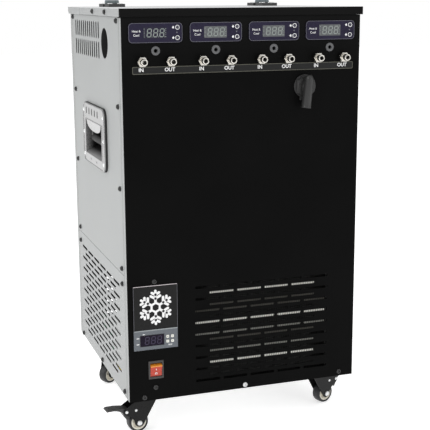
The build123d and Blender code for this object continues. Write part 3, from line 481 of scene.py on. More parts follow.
strip_black = surface("strip_black", 0.0035, 0.006, (0.25, 0.35), grain=600, spec=0.3)
bezel_grey = surface(
    "bezel_grey", (0.085, 0.095, 0.11), (0.115, 0.128, 0.145), (0.35, 0.45), grain=1200, bump=0.01 * MM
)
bezel_highlight = surface("bezel_highlight", (0.22, 0.24, 0.25), (0.30, 0.32, 0.33), (0.3, 0.4), grain=1200)
window_glass = surface(
    "window_glass", (0.0035, 0.0015, 0.008), (0.007, 0.003, 0.014), (0.06, 0.12), grain=200, spec=0.12
)
window_segment = surface("window_segment", (0.012, 0.006, 0.03), (0.02, 0.010, 0.045), (0.2, 0.3))
key_white = surface(
    "key_white", (0.72, 0.72, 0.64), (0.84, 0.84, 0.78), (0.4, 0.5), grain=1500, bump=0.01 * MM
)
key_dark = surface("key_dark", (0.012, 0.010, 0.028), (0.022, 0.019, 0.045), (0.12, 0.2), coat=0.5)
badge_gloss = surface("badge_gloss", 0.006, 0.010, (0.16, 0.26), grain=300, spec=0.15)
switch_shell = surface("switch_shell", (0.030, 0.027, 0.026), (0.048, 0.044, 0.042), (0.35, 0.5), spec=0.4)
# The rocker's upper end is painted orange: a painted highlight where the light from above falls on it.
rocker_red = zoned(
    surface("rocker_red", (0.36, 0.024, 0.007), (0.48, 0.036, 0.012), (0.18, 0.28), grain=400, coat=0.12),
    2, centre("switch_housing").z + 5.5 * MM, (0.70, 0.24, 0.02), 0.4 * MM,
)
moulded_black = surface("moulded_black", 0.018, 0.034, (0.28, 0.42), grain=1300, bump=0.02 * MM, spec=0.45)
grip_rubber = surface("grip_rubber", 0.010, 0.022, (0.5, 0.7), grain=1100, bump=0.05 * MM)
tyre_rubber = surface(
    "tyre_rubber", (0.012, 0.012, 0.013), (0.024, 0.025, 0.026), (0.3, 0.45),
    grain=1500, bump=0.02 * MM, spec=0.35,
)
core_cream = surface("core_cream", (0.68, 0.64, 0.54), (0.84, 0.81, 0.72), (0.35, 0.5), patch=60)
fork_coat = surface("fork_coat", 0.005, 0.011, (0.22, 0.36), grain=1400, bump=0.02 * MM, spec=0.18)
pump_plastic = surface("pump_plastic", 0.014, 0.028, (0.4, 0.55), bump=0.02 * MM)
box_plastic = surface("box_plastic", 0.30, 0.40, (0.45, 0.6), grain=1000, bump=0.02 * MM)
galvanised = surface("galvanised", 0.36, 0.56, (0.35, 0.5), 0.7, grain=60, patch=25)
# Galvanised caster plates, painted near-black above 66.6 mm: painted shade under the cabinet's base.
plate_with_painted_shade = zoned(
    surface("plate_with_painted_shade", 0.36, 0.56, (0.25, 0.4), 0.8), 2, 66.6 * MM, 0.012, 0.1 * MM
)
badge_edge_highlight = surface("badge_edge_highlight", (0.50, 0.44, 0.46), (0.64, 0.58, 0.60), (0.2, 0.3))
seam_dark = surface("seam_dark", 0.045, 0.075, (0.5, 0.6))
screw_sheen = surface("screw_sheen", 0.020, 0.045, (0.18, 0.3), 0.5, grain=1200, spec=0.6)
# Black rubber for the gaskets and sleeves. Also painted shade in the stubs' bores, on the dish louvres and
# behind the rear louvres.
gasket_and_shade_black = surface("gasket_and_shade_black", 0.006, 0.014, (0.55, 0.7), grain=1200, bump=0.03 * MM)


def dress(node, finish, bevel=0.0):
    """Gives a CAD node its finish and, where asked, soft edges from modifiers alone."""
    piece = nodes[node]
    piece.data.materials.clear()
    piece.data.materials.append(finish)
    for face in piece.data.polygons:
        face.use_smooth = True
        face.material_index = 0
    custom = piece.data.attributes.get("custom_normal")
    if custom:
        piece.data.attributes.remove(custom)
    weld = piece.modifiers.new("weld", "WELD")
    weld.merge_threshold = 0.002 * MM
    if bevel:
        flat = piece.modifiers.new("flat", "DECIMATE")
        flat.decimate_type = "DISSOLVE"
        flat.angle_limit = math.radians(1.0)
        add_bevel(piece, bevel)
    else:
        split = piece.modifiers.new("split", "EDGE_SPLIT")
        split.split_angle = math.radians(32)


# ---------------------------------------------------------------- camera, floor and light
CAMERA_SPOT = (-0.57852, -1.75523, 0.73106)
CAMERA_TURNS = (18.6925, -12.0122, -0.3123)  # to the right, up and rolled, in degrees
LENS, SENSOR = 85.67, 36.0
LIT_SPOT = (0, 0, 0.4)


def look():
    """The camera: its place, the way it faces and its small roll."""
    turn, pitch, roll = (math.radians(angle) for angle in CAMERA_TURNS)
    ahead = Vector((math.sin(turn) * math.cos(pitch), math.cos(turn) * math.cos(pitch), math.sin(pitch)))
    level = Vector((math.cos(turn), -math.sin(turn), 0))
    upright = level.cross(ahead)
    right = level * math.cos(roll) + upright * math.sin(roll)
    up = right.cross(ahead)
    data = bpy.data.cameras.new("camera")
    data.sensor_width, data.lens = SENSOR, LENS
    data.clip_start, data.clip_end = 0.05, 50.0
    camera = bpy.data.objects.new("camera", data)
    bpy.context.scene.collection.objects.link(camera)
    turned = Matrix((right, up, -ahead)).transposed()
    camera.matrix_world = Matrix.Translation(CAMERA_SPOT) @ turned.to_4x4()
    bpy.context.scene.camera = camera


def area_light(name, at, size, power):
    """A square lamp that faces the cabinet's middle."""
    data = bpy.data.lights.new(name, "AREA")
    data.shape = "RECTANGLE"
    data.size, data.size_y = size
    data.energy = power
    lamp = bpy.data.objects.new(name, data)
    bpy.context.scene.collection.objects.link(lamp)
    lamp.location = at
    lamp.rotation_mode = "QUATERNION"
    lamp.rotation_quaternion = (Vector(LIT_SPOT) - Vector(at)).to_track_quat("-Z", "Y")


def studio():
    """A white room: bright above, dimmer at the horizon, and pure white to the eye."""
    world = bpy.data.worlds.new("studio")
    bpy.context.scene.world = world
    world.use_nodes = True
    tree = world.node_tree
    tree.nodes.clear()
    out = add_node(tree, "OutputWorld")
    seen = add_node(tree, "Background", {"Color": (1, 1, 1, 1)})
    lit = add_node(tree, "Background")
    pick = add_node(tree, "MixShader")
    ray = add_node(tree, "LightPath")
    place = add_node(tree, "TexCoord")
    split = add_node(tree, "SeparateXYZ")
    ramp = ramp_node(tree, 0.34, 0.80, 0.45, 0.8)
    height = add_node(tree, "MapRange", {"From Min": -1.0})
    link(place, "Generated", split, "Vector")
    link(split, "Z", height, "Value")
    link(height, "Result", ramp, "Fac")
    link(ramp, "Color", lit, "Color")
    link(ray, "Is Camera Ray", pick, "Fac")
    link(lit, "Background", pick, 1)
    link(seen, "Background", pick, 2)
    link(pick, "Shader", out, "Surface")
    area_light("key", (-2.2, -1.6, 2.6), (1.6, 1.6), 24)
    area_light("side", (-2.6, 0.6, 1.2), (1.4, 1.6), 16)
    area_light("fill", (1.8, -2.4, 1.6), (1.4, 1.4), 8)


def floor():
    """A white floor that glows a little, so that it meets the white room without an edge."""
    white = surface("floor_white", 0.90, 0.93, (0.7, 0.8), grain=3, spec=0.1, glow=0.62)
    mesh = bpy.data.meshes.new("floor")
    reach = 12.0
    corners = [(-reach, -reach, 0), (reach, -reach, 0), (reach, reach, 0), (-reach, reach, 0)]
    mesh.from_pydata(corners, [], [(0, 1, 2, 3)])
    mesh.materials.append(white)
    piece = bpy.data.objects.new("floor", mesh)
    bpy.context.scene.collection.objects.link(piece)


# ---------------------------------------------------------------- the front panel's fittings
front_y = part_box("front_panel")[0].y
zones = []
for zone_number in range(1, 5):
    upper_key = centre(f"zone_{zone_number}_key_upper")
    zones.append((zone_number, upper_key.x - 35 * MM, upper_key.z - 8.1 * MM))


def eight(x, width, height, thick, slant):
    """The seven bars of a display's figure, as outlines from millimetres."""
    bars = []
    lean = math.tan(math.radians(slant))
    half = thick / 2

    def bar(start, end):
        along = Vector(end) - Vector(start)
        length = along.length
        along.normalize()
        across = Vector((-along.y, along.x))
        start = Vector(start) + along * half * 0.35
        length -= half * 0.7
        corners = [
            (0, 0), (half, half), (length - half, half), (length, 0), (length - half, -half), (half, -half)
        ]
        outline = []
        for a, b in reversed(corners):
            point = start + along * a + across * b
            outline.append((x + point.x + lean * point.y, point.y))
        return mm(outline)

    w, h = width / 2, height / 2
    for level in (-h, 0, h):
        bars.append(bar((-w, level), (w, level)))
    for side in (-w, w):
        bars.append(bar((side, -h), (side, 0)))
        bars.append(bar((side, 0), (side, h)))
    return bars


def zone_display(number, x, z):
    """Window, figures, words and icons on one zone controller's overlay."""
    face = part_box("zone_controllers")[0].y
    shape = Shape()
    window = (x - 1 * MM, face, z)
    shape.prism(rounded(38, 18, 1.2), window, X, Z, 0.10 * MM, 0)
    # A faint light line round the overlay's edge: a painted highlight.
    shape.ring(rounded(86.4, 30, 5.8), rounded(85.4, 29, 5.4), (x, face, z), X, Z, 0.06 * MM, 3)
    for step in (-1, 0, 1):
        middle = step * 10.2
        for outline in eight(middle, 6.2, 12.0, 1.5, 7):
            shape.prism(outline, (x, face - 0.10 * MM, z), X, Z, 0.08 * MM, 1)
        dot = capsule((middle + 4.3, -6.2), (middle + 4.4, -6.2), 0.6, 4)
        shape.prism(dot, (x, face - 0.10 * MM, z), X, Z, 0.08 * MM, 1)
    for side in (-18.2, 16.2):
        for level in range(5):
            mark = rounded(1.5, 1.1, 0.3, 2)
            at = (x + side * MM, face - 0.10 * MM, z + (6 - 3 * level) * MM)
            shape.prism(mark, at, X, Z, 0.06 * MM, 3 if level % 2 else 1)
    for words, rise in (("Heat &", 2.6), ("Cool", -3.6)):
        at = (x - 31 * MM, face - 0.05 * MM, z + rise * MM)
        shape.add(*lettering(words, 3.4 * MM, at, X, Z, 0.02 * MM), 2)
    for rise in (8.1, -7.9):
        icon = [(-1.9, 0.2), (-0.6, -1.7), (1.4, -1.6), (1.9, 0.5), (0.9, 1.9), (-0.2, 2.1), (-0.7, 0.9)]
        shape.prism(mm(icon), (x + 28.2 * MM, face, z + rise * MM), X, Z, 0.08 * MM, 2)
    hint = mm([(0, -1.4), (1.5, 1.1), (-1.5, 1.1)])
    shape.prism(hint, (x + 34.5 * MM, face, z), X, Z, 0.06 * MM, 3)
    # Zones 2 to 4 take a lighter grey window than zone 1: a painted reflection.
    glass = lcd_dark if number == 1 else lcd_grey
    make(f"zone_{number}_display", shape, [glass, segment_grey, ink_white, ink_faint], "cabinet")


def zone_key_ring(number, place):
    """The white ring and the shiny dome on a display's key."""
    node = f"zone_{number}_key_{place}"
    spot = centre(node)
    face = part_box(node)[0].y
    shape = Shape()
    at = (spot.x, face, spot.z)
    shape.lathe(mm([(2.75, 0), (2.75, 0.10), (3.55, 0.10), (3.55, 0)]), at, -Y, 36, 0)
    shape.lathe(mm([(2.4, 0), (2.1, 0.25), (1.2, 0.5), (0, 0.6)]), at, -Y, 30, 1)
    make(f"{node}_ring", shape, [ink_white, key_dark], node)


port_boxes = islands("port_fittings")
port_z = centre("port_fittings").z


def fittings():
    """Plated stubs: a neck through a hexagon, a lipped tube end, and a nut behind the panel."""
    shape = Shape()
    length = (front_y - port_boxes[0][0].y) / MM
    bore_r, nut_r = 3.1, 8.37
    for low, high in port_boxes:
        at = ((low.x + high.x) / 2, front_y, (low.z + high.z) / 2)
        depth = (front_y - high.y) / MM
        skin = [
            (bore_r, length - 0.9), (3.45, length - 0.15), (4.3, length), (5.1, length - 0.25),
            (5.5, length - 1.0), (5.5, 13.4), (5.0, 12.8), (5.0, 0), (5.15, 0), (5.15, depth),
            (bore_r, depth),
        ]
        shape.lathe(mm(skin), at, -Y, 40, 0)
        # The bore is lined in black: painted shade inside the stub.
        shape.lathe(mm([(bore_r, depth), (bore_r, length - 0.9)]), at, -Y, 40, 1)
        for base, thick in ((5.0, 6.0), (-5.5, 4.0)):
            shape.prism(circle(nut_r, 6), Vector(at) - Y * base * MM, X, Z, thick * MM, 0)
    make("hose_stubs", shape, [nickel, gasket_and_shade_black], "cabinet", ["port_fittings"], 0.45 * MM, 3)


def grommets():
    """Grey rubber rings round the probe holes."""
    shape = Shape()
    profile = [
        (3.0, -3.3), (3.0, 1.1), (3.35, 1.65), (4.2, 1.8), (6.3, 1.65), (7.0, 1.1), (7.15, 0.0),
        (5.5, 0.0), (5.5, -1.5), (7.15, -1.5), (7.0, -3.1), (6.0, -3.3), (3.0, -3.3),
    ]
    for low, high in islands("probe_grommets"):
        at = ((low.x + high.x) / 2, front_y, (low.z + high.z) / 2)
        shape.lathe(mm(profile), at, -Y, 40)
    make("rubber_grommets", shape, grey_rubber, "cabinet", ["probe_grommets"])


def port_strip():
    """The printed strip under the stubs, with a word for each stub."""
    ports = sorted((low.x + high.x) / 2 for low, high in port_boxes)
    left, right = ports[0] / MM - 14.1, ports[-1] / MM + 19.7
    width, height, line = right - left, 11.5, 0.75
    level = port_z - 13.7 * MM
    shape = Shape()
    at = ((left + right) / 2 * MM, front_y, level)
    outer, inner = rounded(width, height, 1.4), rounded(width - 2 * line, height - 2 * line, 0.9)
    shape.prism(outer, at, X, Z, 0.03 * MM, 1)
    shape.ring(outer, inner, at, X, Z, 0.08 * MM, 0)
    for index, x in enumerate(ports):
        words = "OUT" if index % 2 else "IN"
        at = (x, front_y - 0.05 * MM, level + 0.6 * MM)
        shape.add(*lettering(words, 5.6 * MM, at, X, Z, 0.22 * MM), 2)
    make("port_strip", shape, [strip_line, strip_black, ink_white], "cabinet")


def badge_mark():
    """A plain snowflake in round strokes on the square plate, with painted highlights along the plate's top
    and side edges.
    """
    low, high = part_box("badge_plate")
    at = ((low.x + high.x) / 2, low.y, (low.z + high.z) / 2)
    shape = Shape()
    arm, stroke, heart = 28, 2.1, 8
    for turn in range(6):
        lean = math.radians(60 * turn + 30)
        out = polar(lean)
        shape.prism(capsule(out * heart, out * arm, stroke), at, X, Z, (0.50 + 0.01 * turn) * MM)
        for along, length in ((15, 9), (21.5, 7)):
            for side in (-1, 1):
                tip = out * along + polar(lean + side * 1.05) * length
                shape.prism(capsule(out * along, tip, stroke), at, X, Z, (0.56 + 0.01 * turn) * MM)
    hexagon = [polar(math.radians(60 * k + 30)) * heart for k in range(6)]
    for k in range(6):
        shape.prism(capsule(hexagon[k], hexagon[(k + 1) % 6], stroke * 0.8), at, X, Z, (0.62 + 0.01 * k) * MM)
    # A light line along the plate's top edge and faint lines down its sides: painted highlights.
    rim = low.y - 0.06 * MM
    shape.box((low.x + 0.6 * MM, rim, high.z - 1.2 * MM), (high.x - 0.6 * MM, low.y, high.z - 0.3 * MM), 1)
    for side_low in (low.x + 0.2 * MM, high.x - 0.7 * MM):
        shape.box((side_low, rim, low.z + 0.6 * MM), (side_low + 0.5 * MM, low.y, high.z - 1.4 * MM), 2)
    make("badge_mark", shape, [ink_white, badge_edge_highlight, ink_faint], "cabinet")


def main_face():
    """Window, unlit figures, printed marks and a painted highlight along the upper edge of the main
    thermostat.
    """
    low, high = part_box("main_controller")
    middle = (low.x + high.x) / 2
    level = centre("main_controller").z
    face = low.y
    shape = Shape()
    window = (middle - 6.75 * MM, face, level - 0.95 * MM)
    pane = rounded(40, 18.2, 0.6)
    shape.prism(pane, window, X, Z, 0.08 * MM, 0)
    shape.ring(rounded(41.2, 19.4, 1.0), pane, window, X, Z, 0.22 * MM, 4)
    for step in range(3):
        for outline in eight(step * 10.5 - 8.5, 6.2, 12, 1.3, 6):
            shape.prism(outline, (window[0], face - 0.08 * MM, window[2]), X, Z, 0.05 * MM, 1)
    for dz in (4.3, -5.9):
        mark = capsule((-1.6, 0), (1.6, 0), 0.75, 4)
        shape.prism(mark, (middle - 31.1 * MM, face, level + dz * MM), X, Z, 0.06 * MM, 2)
    mark = capsule((-1.4, 0), (1.4, 0), 0.6, 4)
    shape.prism(mark, (middle - 21 * MM, face, level + 10.2 * MM), X, Z, 0.06 * MM, 2)
    shape.add(*lettering("TEMP", 2.2 * MM, (middle + 23.8 * MM, face, level - 11.6 * MM), X, Z, 0.05 * MM), 2)
    # A lighter strip along the bezel's top: a painted highlight.
    edge_high = (high.x - 0.8 * MM, face + 0.5 * MM, level + 17.2 * MM)
    shape.box((low.x + 0.8 * MM, face - 0.05 * MM, level + 15.6 * MM), edge_high, 3)
    finishes = [window_glass, window_segment, ink_white, bezel_highlight, gasket_and_shade_black]
    make("thermostat_face", shape, finishes, "cabinet")
    icons = (
        [(-1, -0.9), (1, -0.9), (1, 0.9), (-1, 0.9)],
        [(-1, -0.8), (1, -0.8), (0, 1)],
        [(-0.8, -0.8), (0.8, -0.8), (0.8, 0.8), (-0.8, 0.8)],
        [(-1, 0.8), (0, -1), (1, 0.8)],
    )
    for number, icon in enumerate(icons, 1):
        node = f"main_key_{number}"
        spot, near = centre(node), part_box(node)[0].y
        outline = [(u * ICON_HALF, v * ICON_HALF) for u, v in icon]
        mark = Shape().prism(outline, (spot.x, near, spot.z), X, Z, 0.05 * MM)
        make(f"{node}_icon", mark, ink_faint, node)


def rocker_marks():
    """The bar and the circle on the power rocker, on its tilted face."""
    low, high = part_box("switch_housing")
    middle_x, middle_z = (low.x + high.x) / 2, (low.z + high.z) / 2
    pivot = Vector(joints["power_rocker"]["pos_m"])
    tilt = math.radians(11)
    along = Vector((0, -math.sin(tilt), math.cos(tilt)))
    outward = Vector((0, -math.cos(tilt), -math.sin(tilt)))
    shape = Shape()
    seat = Vector((middle_x, pivot.y, middle_z)) + outward * 8.45 * MM
    shape.prism(capsule((0, -1.2), (0, 1.2), 0.45, 5), seat + along * 2.4 * MM, X, along, 0.25 * MM)
    ring_at = seat + along * -5.2 * MM + outward * 0.35 * MM
    shape.ring(circle(2.1, 30), circle(1.3, 30), ring_at, X, along, 0.25 * MM)
    make("rocker_marks", shape, ink_white, "power_rocker")


# ---------------------------------------------------------------- screws
side_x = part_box("side_panels")[1].x
FRONT_HEAD_H, SIDE_HEAD_H = 2.4 * MM, 3.9 * MM


def screw_head(shape, at, outward, radius, height, finish=0, turn=0.0):
    """A pan head with a cross recess, as one skin over a round grid."""
    outward = Vector(outward).normalized()
    side = outward.orthogonal().normalized()
    other = outward.cross(side)
    rings, steps = 9, 32
    sunk, arm_half, arm_reach = 0.42, 0.13, 0.58
    points, faces = [Vector(at) + outward * height * sunk], []
    for ring in range(1, rings + 1):
        share = ring / rings
        for step in range(steps):
            angle = 2 * math.pi * step / steps
            u, v = share * math.cos(angle), share * math.sin(angle)
            rise = math.sqrt(max(0.0, 1 - (share * 0.985) ** 2.6))
            cross = min(abs(u), abs(v)) < arm_half and max(abs(u), abs(v)) < arm_reach
            level = height * (sunk if cross else 0.25 + 0.75 * rise)
            c, s = math.cos(turn), math.sin(turn)
            spot = side * (u * c - v * s) * radius + other * (u * s + v * c) * radius
            points.append(Vector(at) + spot + outward * level)
    for step in range(steps):
        faces.append((0, 1 + step, 1 + (step + 1) % steps))
    for ring in range(rings - 1):
        a, b = 1 + ring * steps, 1 + (ring + 1) * steps
        for step in range(steps):
            after = (step + 1) % steps
            faces.append((a + step, b + step, b + after, a + after))
    base = len(points)
    for step in range(steps):
        angle = 2 * math.pi * step / steps + turn
        points.append(Vector(at) + (side * math.cos(angle) + other * math.sin(angle)) * radius)
    last = 1 + (rings - 1) * steps
    for step in range(steps):
        after = (step + 1) % steps
        faces.append((last + step, base + step, base + after, last + after))
    faces.append(tuple(reversed(range(base, base + steps))))
    shape.add(points, faces, finish)


def panel_screw_heads():
    """Black cross-head screws all round, with one bright one low in the middle of the front."""
    shape = Shape()
    for index, (low, high) in enumerate(islands("panel_screws")):
        middle = (low + high) / 2
        turn = (index * 0.7) % 1.5
        if high.x > side_x + 1 * MM:
            at, outward = (side_x, middle.y, middle.z), X
        elif low.x < -side_x - 1 * MM:
            at, outward = (-side_x, middle.y, middle.z), -X
        elif middle.y < 0:
            at, outward = (middle.x, front_y, middle.z), -Y
        else:
            at, outward = (middle.x, -front_y, middle.z), Y
        bright = outward == -Y and abs(middle.x) < 10 * MM
        finish = 1 if bright else 2 if outward == -Y else 0
        rise = FRONT_HEAD_H if abs(outward.y) else SIDE_HEAD_H
        screw_head(shape, at, outward, 4.25 * MM, rise, finish, turn)
    finishes = [black_oxide, zinc, screw_sheen]
    make("panel_screw_heads", shape, finishes, "cabinet", ["panel_screws"], sharp=50)


def lid_screws():
    """Screws through the lid's side flanges, and the small ones in its hinge leaves."""
    low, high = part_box("lid")
    flange = Shape()
    for side in (-1, 1):
        for y in (-104 * MM, -11 * MM):
            at = (side * high.x, y, low.z + 6.5 * MM)
            screw_head(flange, at, (side, 0, 0), 4.2 * MM, 3.6 * MM, 0, 0.4)
    make("lid_flange_screws", flange, black_oxide, "lid", sharp=50)
    hinge = Vector(joints["lid"]["pos_m"])
    leaf_top = high.z + 5.5 * MM
    for node, body, side in (("hinge_lid_leaves", "lid", -1), ("hinge_base_leaves", "cabinet", 1)):
        heads = Shape()
        for middle in (-146 * MM, 146 * MM):
            for dx in (-9 * MM, 9 * MM):
                for dy in (16 * MM, 31 * MM):
                    at = (middle + dx, hinge.y + side * dy, leaf_top)
                    screw_head(heads, at, Z, 3.2 * MM, 1.3 * MM, 0, dx * 40)
        make(f"{node}_screws", heads, zinc, body, sharp=50)


# ---------------------------------------------------------------- side handles
dish_low, dish_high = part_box("handle_dishes")
plate_x = dish_high.x - 1.7 * MM
dish_z = (dish_low.z + dish_high.z) / 2
CUP_HALF, CUP_LOW, CUP_HIGH = 65, 459, 518
SEAL_BACK, SEAL_T = 203 * MM, 3.6 * MM


def side_point(side, y, z, x):
    """A point on one side of the cabinet, from how far out it lies."""
    return Vector((side * x, y, z))


def dish_trim(side, name):
    """Rolled rims, the gasket, the arched hood over the bail, and the domed rivets of one dish."""
    shape = Shape()

    def on_plate(outline, lift, up):
        return [side_point(side, u, up + v, plate_x + lift) for u, v in outline]

    seal = rounded(171, 108, 16.5), rounded(168, 105, 15)
    shape.ring(*seal, (side * SEAL_BACK, 0, dish_z), (0, side, 0), Z, SEAL_T, 2)
    rim = rounded(167.5, 104.5, 15, 8)
    shape.tube(on_plate(rim, 0.2 * MM, dish_z), 0.9 * MM, 10, True)
    mouth = rounded(2 * CUP_HALF + 2.4, CUP_HIGH - CUP_LOW + 2.4, 3, 4)
    shape.tube(on_plate(mouth, 0.0, (CUP_HIGH + CUP_LOW) / 2 * MM), 1.1 * MM, 10, True)
    columns, rows, points = 24, 6, []
    for column in range(columns + 1):
        across = -1 + 2 * column / columns
        drop = 17 * MM * math.sqrt(max(0.0, 1 - abs(across) ** 2.6)) + 0.6 * MM
        for row in range(rows + 1):
            share = row / rows
            sink = 1.5 * MM * math.sin(share * math.pi / 2) * (1 - abs(across) ** 4)
            z = (CUP_HIGH + 1) * MM - drop * share
            points.append(side_point(side, across * 58 * MM, z, plate_x - sink + 0.2 * MM))
    shape.slab(points, columns, rows, (-side * HOOD_T, 0, 0))
    # Near-black strips on the five louvres: painted shade in their openings.
    for y in (-33 * MM, -10.5 * MM, 12 * MM, 34.5 * MM, 57 * MM):
        seat = (side * plate_x, y, dish_z + 40 * MM)
        shape.prism(rounded(5, 12, 2.4), seat, (0, side, 0), Z, 0.2 * MM, 2)
    dome = [(3.9, 0), (3.8, 0.6), (3.2, 1.3), (2.1, 1.8), (1.0, 2.0), (0, 2.05)]
    for y in (-77 * MM, 77 * MM):
        for dz in (-40 * MM, 0, 40 * MM):
            seat = side_point(side, y, dish_z + dz, plate_x)
            shape.lathe(mm(dome), seat, (side, 0, 0), 24, 1)
    make(name, shape, [pressed_steel, zinc, gasket_and_shade_black], "cabinet")


def bail(name):
    """A flat steel bail with eyes at its pivots and a ribbed rubber grip."""
    pivot = Vector(joints[name]["pos_m"])
    grip_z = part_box(name)[0].z + GRIP_R
    shape = Shape()
    arm_y, arm_t = 60, 3.8
    for end in (-1, 1):
        outline = capsule((0, pivot.z / MM), (0, grip_z / MM), 4.4)
        shape.prism(outline, (pivot.x, (end * arm_y + arm_t / 2) * MM, 0), X, Z, arm_t * MM, 1)
        pin = [(2.5, 0), (2.5, 5.0), (2.0, 5.5), (0, 5.5)]
        shape.lathe(mm(pin), (pivot.x, end * (arm_y + 1.8) * MM, pivot.z), (0, end, 0), 20, 1)
    half = 57.5
    profile = [(0, -half), (5.2, -half), (6.3, -half + 0.6), (6.8, -half + 1.8)]
    ribs = 16
    for rib in range(ribs):
        middle = -half + 5 + (2 * half - 10) * (rib + 0.5) / ribs
        profile += [(6.95, middle - 2.2), (6.95, middle + 1.6), (6.35, middle + 2.3), (6.35, middle + 2.9)]
    profile += [(6.8, half - 1.8), (6.3, half - 0.6), (5.2, half), (0, half)]
    shape.lathe(mm(profile), (pivot.x, 0, grip_z), Y, 32, 0)
    make(f"{name}_bail", shape, [grip_rubber, steel], name, [name], 0.35 * MM)


def side_seams():
    """The dark gaps round the big side panels, and a black sheet behind the rear louvres as painted shade."""
    shape = Shape()
    for side in (-1, 1):
        back, face = side * (side_x - 0.1 * MM), side * (side_x + 0.05 * MM)
        for y in (-185, 185):
            shape.box((back, (y - 0.5) * MM, 78 * MM), (face, (y + 0.5) * MM, 702 * MM))
    make("side_seams", shape, seam_dark, "cabinet")
    # A black sheet behind the rear louvres: painted shade, so the inside stays dark through the vents.
    rear_shade_sheet = Shape().box((-110 * MM, 192 * MM, 95 * MM), (160 * MM, 194 * MM, 255 * MM))
    make("rear_painted_shade", rear_shade_sheet, gasket_and_shade_black, "cabinet")


def side_ports():
    """A dark sleeve behind the round opening in each side panel."""
    for side, name in ((-1, "left"), (1, "right")):
        wall = [(25.9, 0), (25.9, 20.3), (0, 20.3), (0, 19.5), (25.2, 19.5), (25.2, 0), (25.9, 0)]
        seat = (side * 201.8 * MM, -82 * MM, 658 * MM)
        sleeve = Shape().lathe(mm(wall), seat, (-side, 0, 0), 48)
        make(f"side_sleeve_{name}", sleeve, gasket_and_shade_black, "cabinet")


# ---------------------------------------------------------------- casters
class Caster:
    """One caster's own axes: along from the swivel towards the axle, across, and up from the axle."""

    def __init__(self, corner):
        self.corner = corner
        swivel = Vector(joints[f"fork_{corner}"]["pos_m"])
        axle = Vector(joints[f"wheel_{corner}"]["pos_m"])
        run = Vector((axle.x - swivel.x, axle.y - swivel.y, 0))
        self.trail = run.length
        self.along = run.normalized()
        self.across = Z.cross(self.along)
        self.swivel = Vector((swivel.x, swivel.y, axle.z))
        self.radius = axle.z

    def at(self, along, across, up):
        """A point from its place along, across and up, in millimetres."""
        return self.swivel + (self.along * along + self.across * across + Z * up) * MM


def smooth_outline(corners, rounding, steps=5):
    """Rounds each corner of an outline by its own distance."""
    outline = []
    count = len(corners)
    for i, corner in enumerate(corners):
        here, before, after = Vector(corner), Vector(corners[i - 1]), Vector(corners[(i + 1) % count])
        cut = rounding[i] if isinstance(rounding, (list, tuple)) else rounding
        cut = min(cut, (before - here).length * 0.45, (after - here).length * 0.45)
        start = here + (before - here).normalized() * cut
        end = here + (after - here).normalized() * cut
        for step in range(steps + 1):
            t = step / steps
            outline.append(tuple(start * (1 - t) ** 2 + here * 2 * t * (1 - t) + end * t * t))
    return outline


def fork(caster):
    """Crown, pressed legs with rounded ends, axle nuts and, at the front, the brake's rivets."""
    braked = caster.corner.startswith("front")
    shape = Shape()
    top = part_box(f"fork_{caster.corner}")[1].z / MM - caster.radius / MM
    crown = [(4.1, -2.5), (18.5, -2.5), (20, -1.6), (20, -0.7), (19.2, 0), (4.1, 0)]
    base = caster.at(0, 0, top)
    shape.lathe(mm(crown), base, Z, 40, 0)
    trail = caster.trail / MM
    reach = trail + (27 if braked else 6)
    rise = PIN_UP + 3 if braked else top - 12
    corners = [
        (-15.5, top - 0.6), (20, top - 0.6), (reach, rise), (reach + 0.4, rise - 6.5),
        (trail + 9.5, 8), (trail + 7, -5.5), (trail - 5, -8), (trail - 15.5, 10),
    ]
    rounding = [2, 8, 4, 4, 6, 7, 7, 8]
    outline = mm(smooth_outline(corners, rounding))
    rivets = [((trail, 0), 4.7, 2.9)]
    if braked:
        rivets += [((trail + PIN_AHEAD, PIN_UP), 2.9, 1.4), ((trail + 6, 24.0), 2.5, 1.2)]
    for side in (-1, 1):
        near = LEG_IN if side > 0 else -LEG_OUT
        seat = caster.at(0, near + LEG_T, 0)
        shape.prism(outline, seat, caster.along, Z, LEG_T * MM, 0)
        for spot, radius, depth in rivets:
            seat = caster.at(spot[0], side * LEG_OUT, spot[1])
            dome = [
                (radius, 0), (radius, depth * 0.45), (radius * 0.8, depth * 0.85), (radius * 0.35, depth),
                (0, depth),
            ]
            shape.lathe(mm(dome), seat, caster.across * side, 24, 1)
    bridge = [(-15.5, top - 2.8), (-15.5, top - 0.6), (15, top - 0.6), (19, top - 2.8)]
    shape.prism(mm(bridge), caster.at(0, 9.6, 0), caster.along, Z, 19.2 * MM, 0)
    shape.lathe(mm([(2.9, -11), (2.9, 11)]), caster.at(trail, 0, 0), caster.across, 20, 1)
    body = f"fork_{caster.corner}"
    make(f"caster_{body}", shape, [fork_coat, zinc], body, [body], 0.5 * MM, 3)


